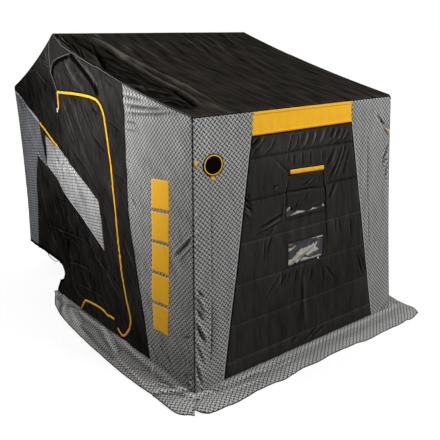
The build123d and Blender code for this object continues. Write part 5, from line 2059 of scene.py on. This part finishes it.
class HutTrim(bpy.types.Operator):
    """Adds the banner's hems, the round patch, the tabs, the ridge patches and the slanted bars"""

    bl_idname = "hut.trim"
    bl_label = "Trim"

    def execute(self, context):
        lines = [on_front([(-half, z), (half, z)]) for half, z in ((360, 1213), (348, 1309))]
        hems = [band(SHELL, line, 13, 1.0, 1.0) for line in lines]
        gathered("front_banner_hems", hems, "zip")
        line = on_front([(-CENTER_TOP, 1203), (CENTER_TOP, 1203)])
        gathered("front_banner_piping", [band(SHELL, line, 6, 0.5, 0.8)], "edge")
        self.tabs()
        self.patch()
        outline = np.vstack([RIDGE_PATCH, [(1150, 1608), (1331, 1684)]])
        for hand, surface in SIDES.items():
            self.applied(f"{hand}_ridge_patch", surface, outline, "black", 3.2, 3.0)
            self.bars(hand, surface)
        return {"FINISHED"}

    def tabs(self):
        """Short loops of amber webbing on the front corners."""
        skins = []
        for x, z, width, tall in ((-697, 1122, 18, 22), (-604, 1046, 20, 22), (697, 1122, 18, 22)):
            middle = np.array([(x, run_of_front(z + tall * (0.5 - k / 8))) for k in range(9)])
            skins.append(band(SHELL, middle, width, 2.5, 2.0, step=3, sink=-1.0))
        gathered("tie_tab_loops", skins, "amber", "tie_tabs")

    def patch(self):
        """A plain round patch with a raised ring."""
        low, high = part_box("front_patch")
        middle = (low + high) / 2
        lean = math.pi / 2 - math.atan2(FEET, EAVE[1])
        place = middle - Vector((0, 0.001, 0))
        for name, radius, depth, finish in (
            ("front_patch_disc", 0.059, 0.0032, "edge"),
            ("front_patch_ring", 0.0535, 0.0042, "amber"),
            ("front_patch_face", 0.0475, 0.0052, "edge"),
        ):
            only()
            bpy.ops.mesh.primitive_cylinder_add(
                vertices=56, radius=radius, depth=depth, location=place, rotation=(lean, 0, 0)
            )
            disc = bpy.context.object
            disc.name = name
            disc.scale.y = 0.88
            only(disc)
            bevel = disc.modifiers.new("Rim", "BEVEL")
            bevel.width = 0.0012
            bevel.segments = 3
            bpy.ops.object.modifier_apply(modifier=bevel.name)
            bpy.ops.object.transform_apply(location=True, rotation=True, scale=True)
            bpy.ops.object.shade_smooth_by_angle(angle=math.radians(40))
            disc.data.materials.append(finish_of(finish))
            own(disc, "patch", *(["front_patch"] if name.endswith("disc") else []))

    def bars(self, hand, surface):
        """Plain slanted bars down the corner panel."""
        front, back = 174, 317
        for count in range(5):
            low, high = 211 + count * 162, 357 + count * 162
            outline = np.array([(front, low + 10), (back, low), (back, high), (front, high + 10)], float)
            self.applied(f"{hand}_bar_{count + 1}", surface, outline, "amber", 1.0, 1.4)

    def applied(self, name, surface, outline, finish, lift, thickness):
        """A piece of cloth sewn on a side."""
        spots, faces, areas = cut_out(outline, [], 8)
        points = placed(surface.at(spots, lift))
        if surface.turned:
            faces = faces[:, ::-1]
        piece = new_piece(name, points, faces, finish, spots)
        thickened(piece, thickness)
        own(piece, MAKERS[finish][0])
        as_sheet(areas)


STEPS = (
    HutStage,
    HutHemCord,
    HutSides,
    HutFront,
    HutRoof,
    HutRearWall,
    HutSkirts,
    HutWindows,
    HutZips,
    HutPiping,
    HutBindings,
    HutTrim,
    HutFrame,
)


class HutPanel(bpy.types.Panel):
    """Lists the steps that dress the hut"""

    bl_idname = "VIEW3D_PT_hut"
    bl_label = "Ice fishing hut"
    bl_space_type = "VIEW_3D"
    bl_region_type = "UI"
    bl_category = "Ice hut"

    def draw(self, context):
        for settings in (context.scene.hut_colours, context.scene.hut_sizes):
            for name in settings.__annotations__:
                self.layout.prop(settings, name)
        for step in STEPS:
            self.layout.operator(step.bl_idname)


CLASSES = (HutColours, HutSizes, *STEPS, HutPanel)


def register():
    for kind in CLASSES:
        bpy.utils.register_class(kind)
    bpy.types.Scene.hut_colours = bpy.props.PointerProperty(type=HutColours)
    bpy.types.Scene.hut_sizes = bpy.props.PointerProperty(type=HutSizes)


def unregister():
    del bpy.types.Scene.hut_sizes
    del bpy.types.Scene.hut_colours
    for kind in reversed(CLASSES):
        bpy.utils.unregister_class(kind)


def main():
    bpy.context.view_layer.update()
    register()
    for step in STEPS:
        group, name = step.bl_idname.split(".")
        getattr(getattr(bpy.ops, group), name)()


if __name__ == "__main__":
    main()
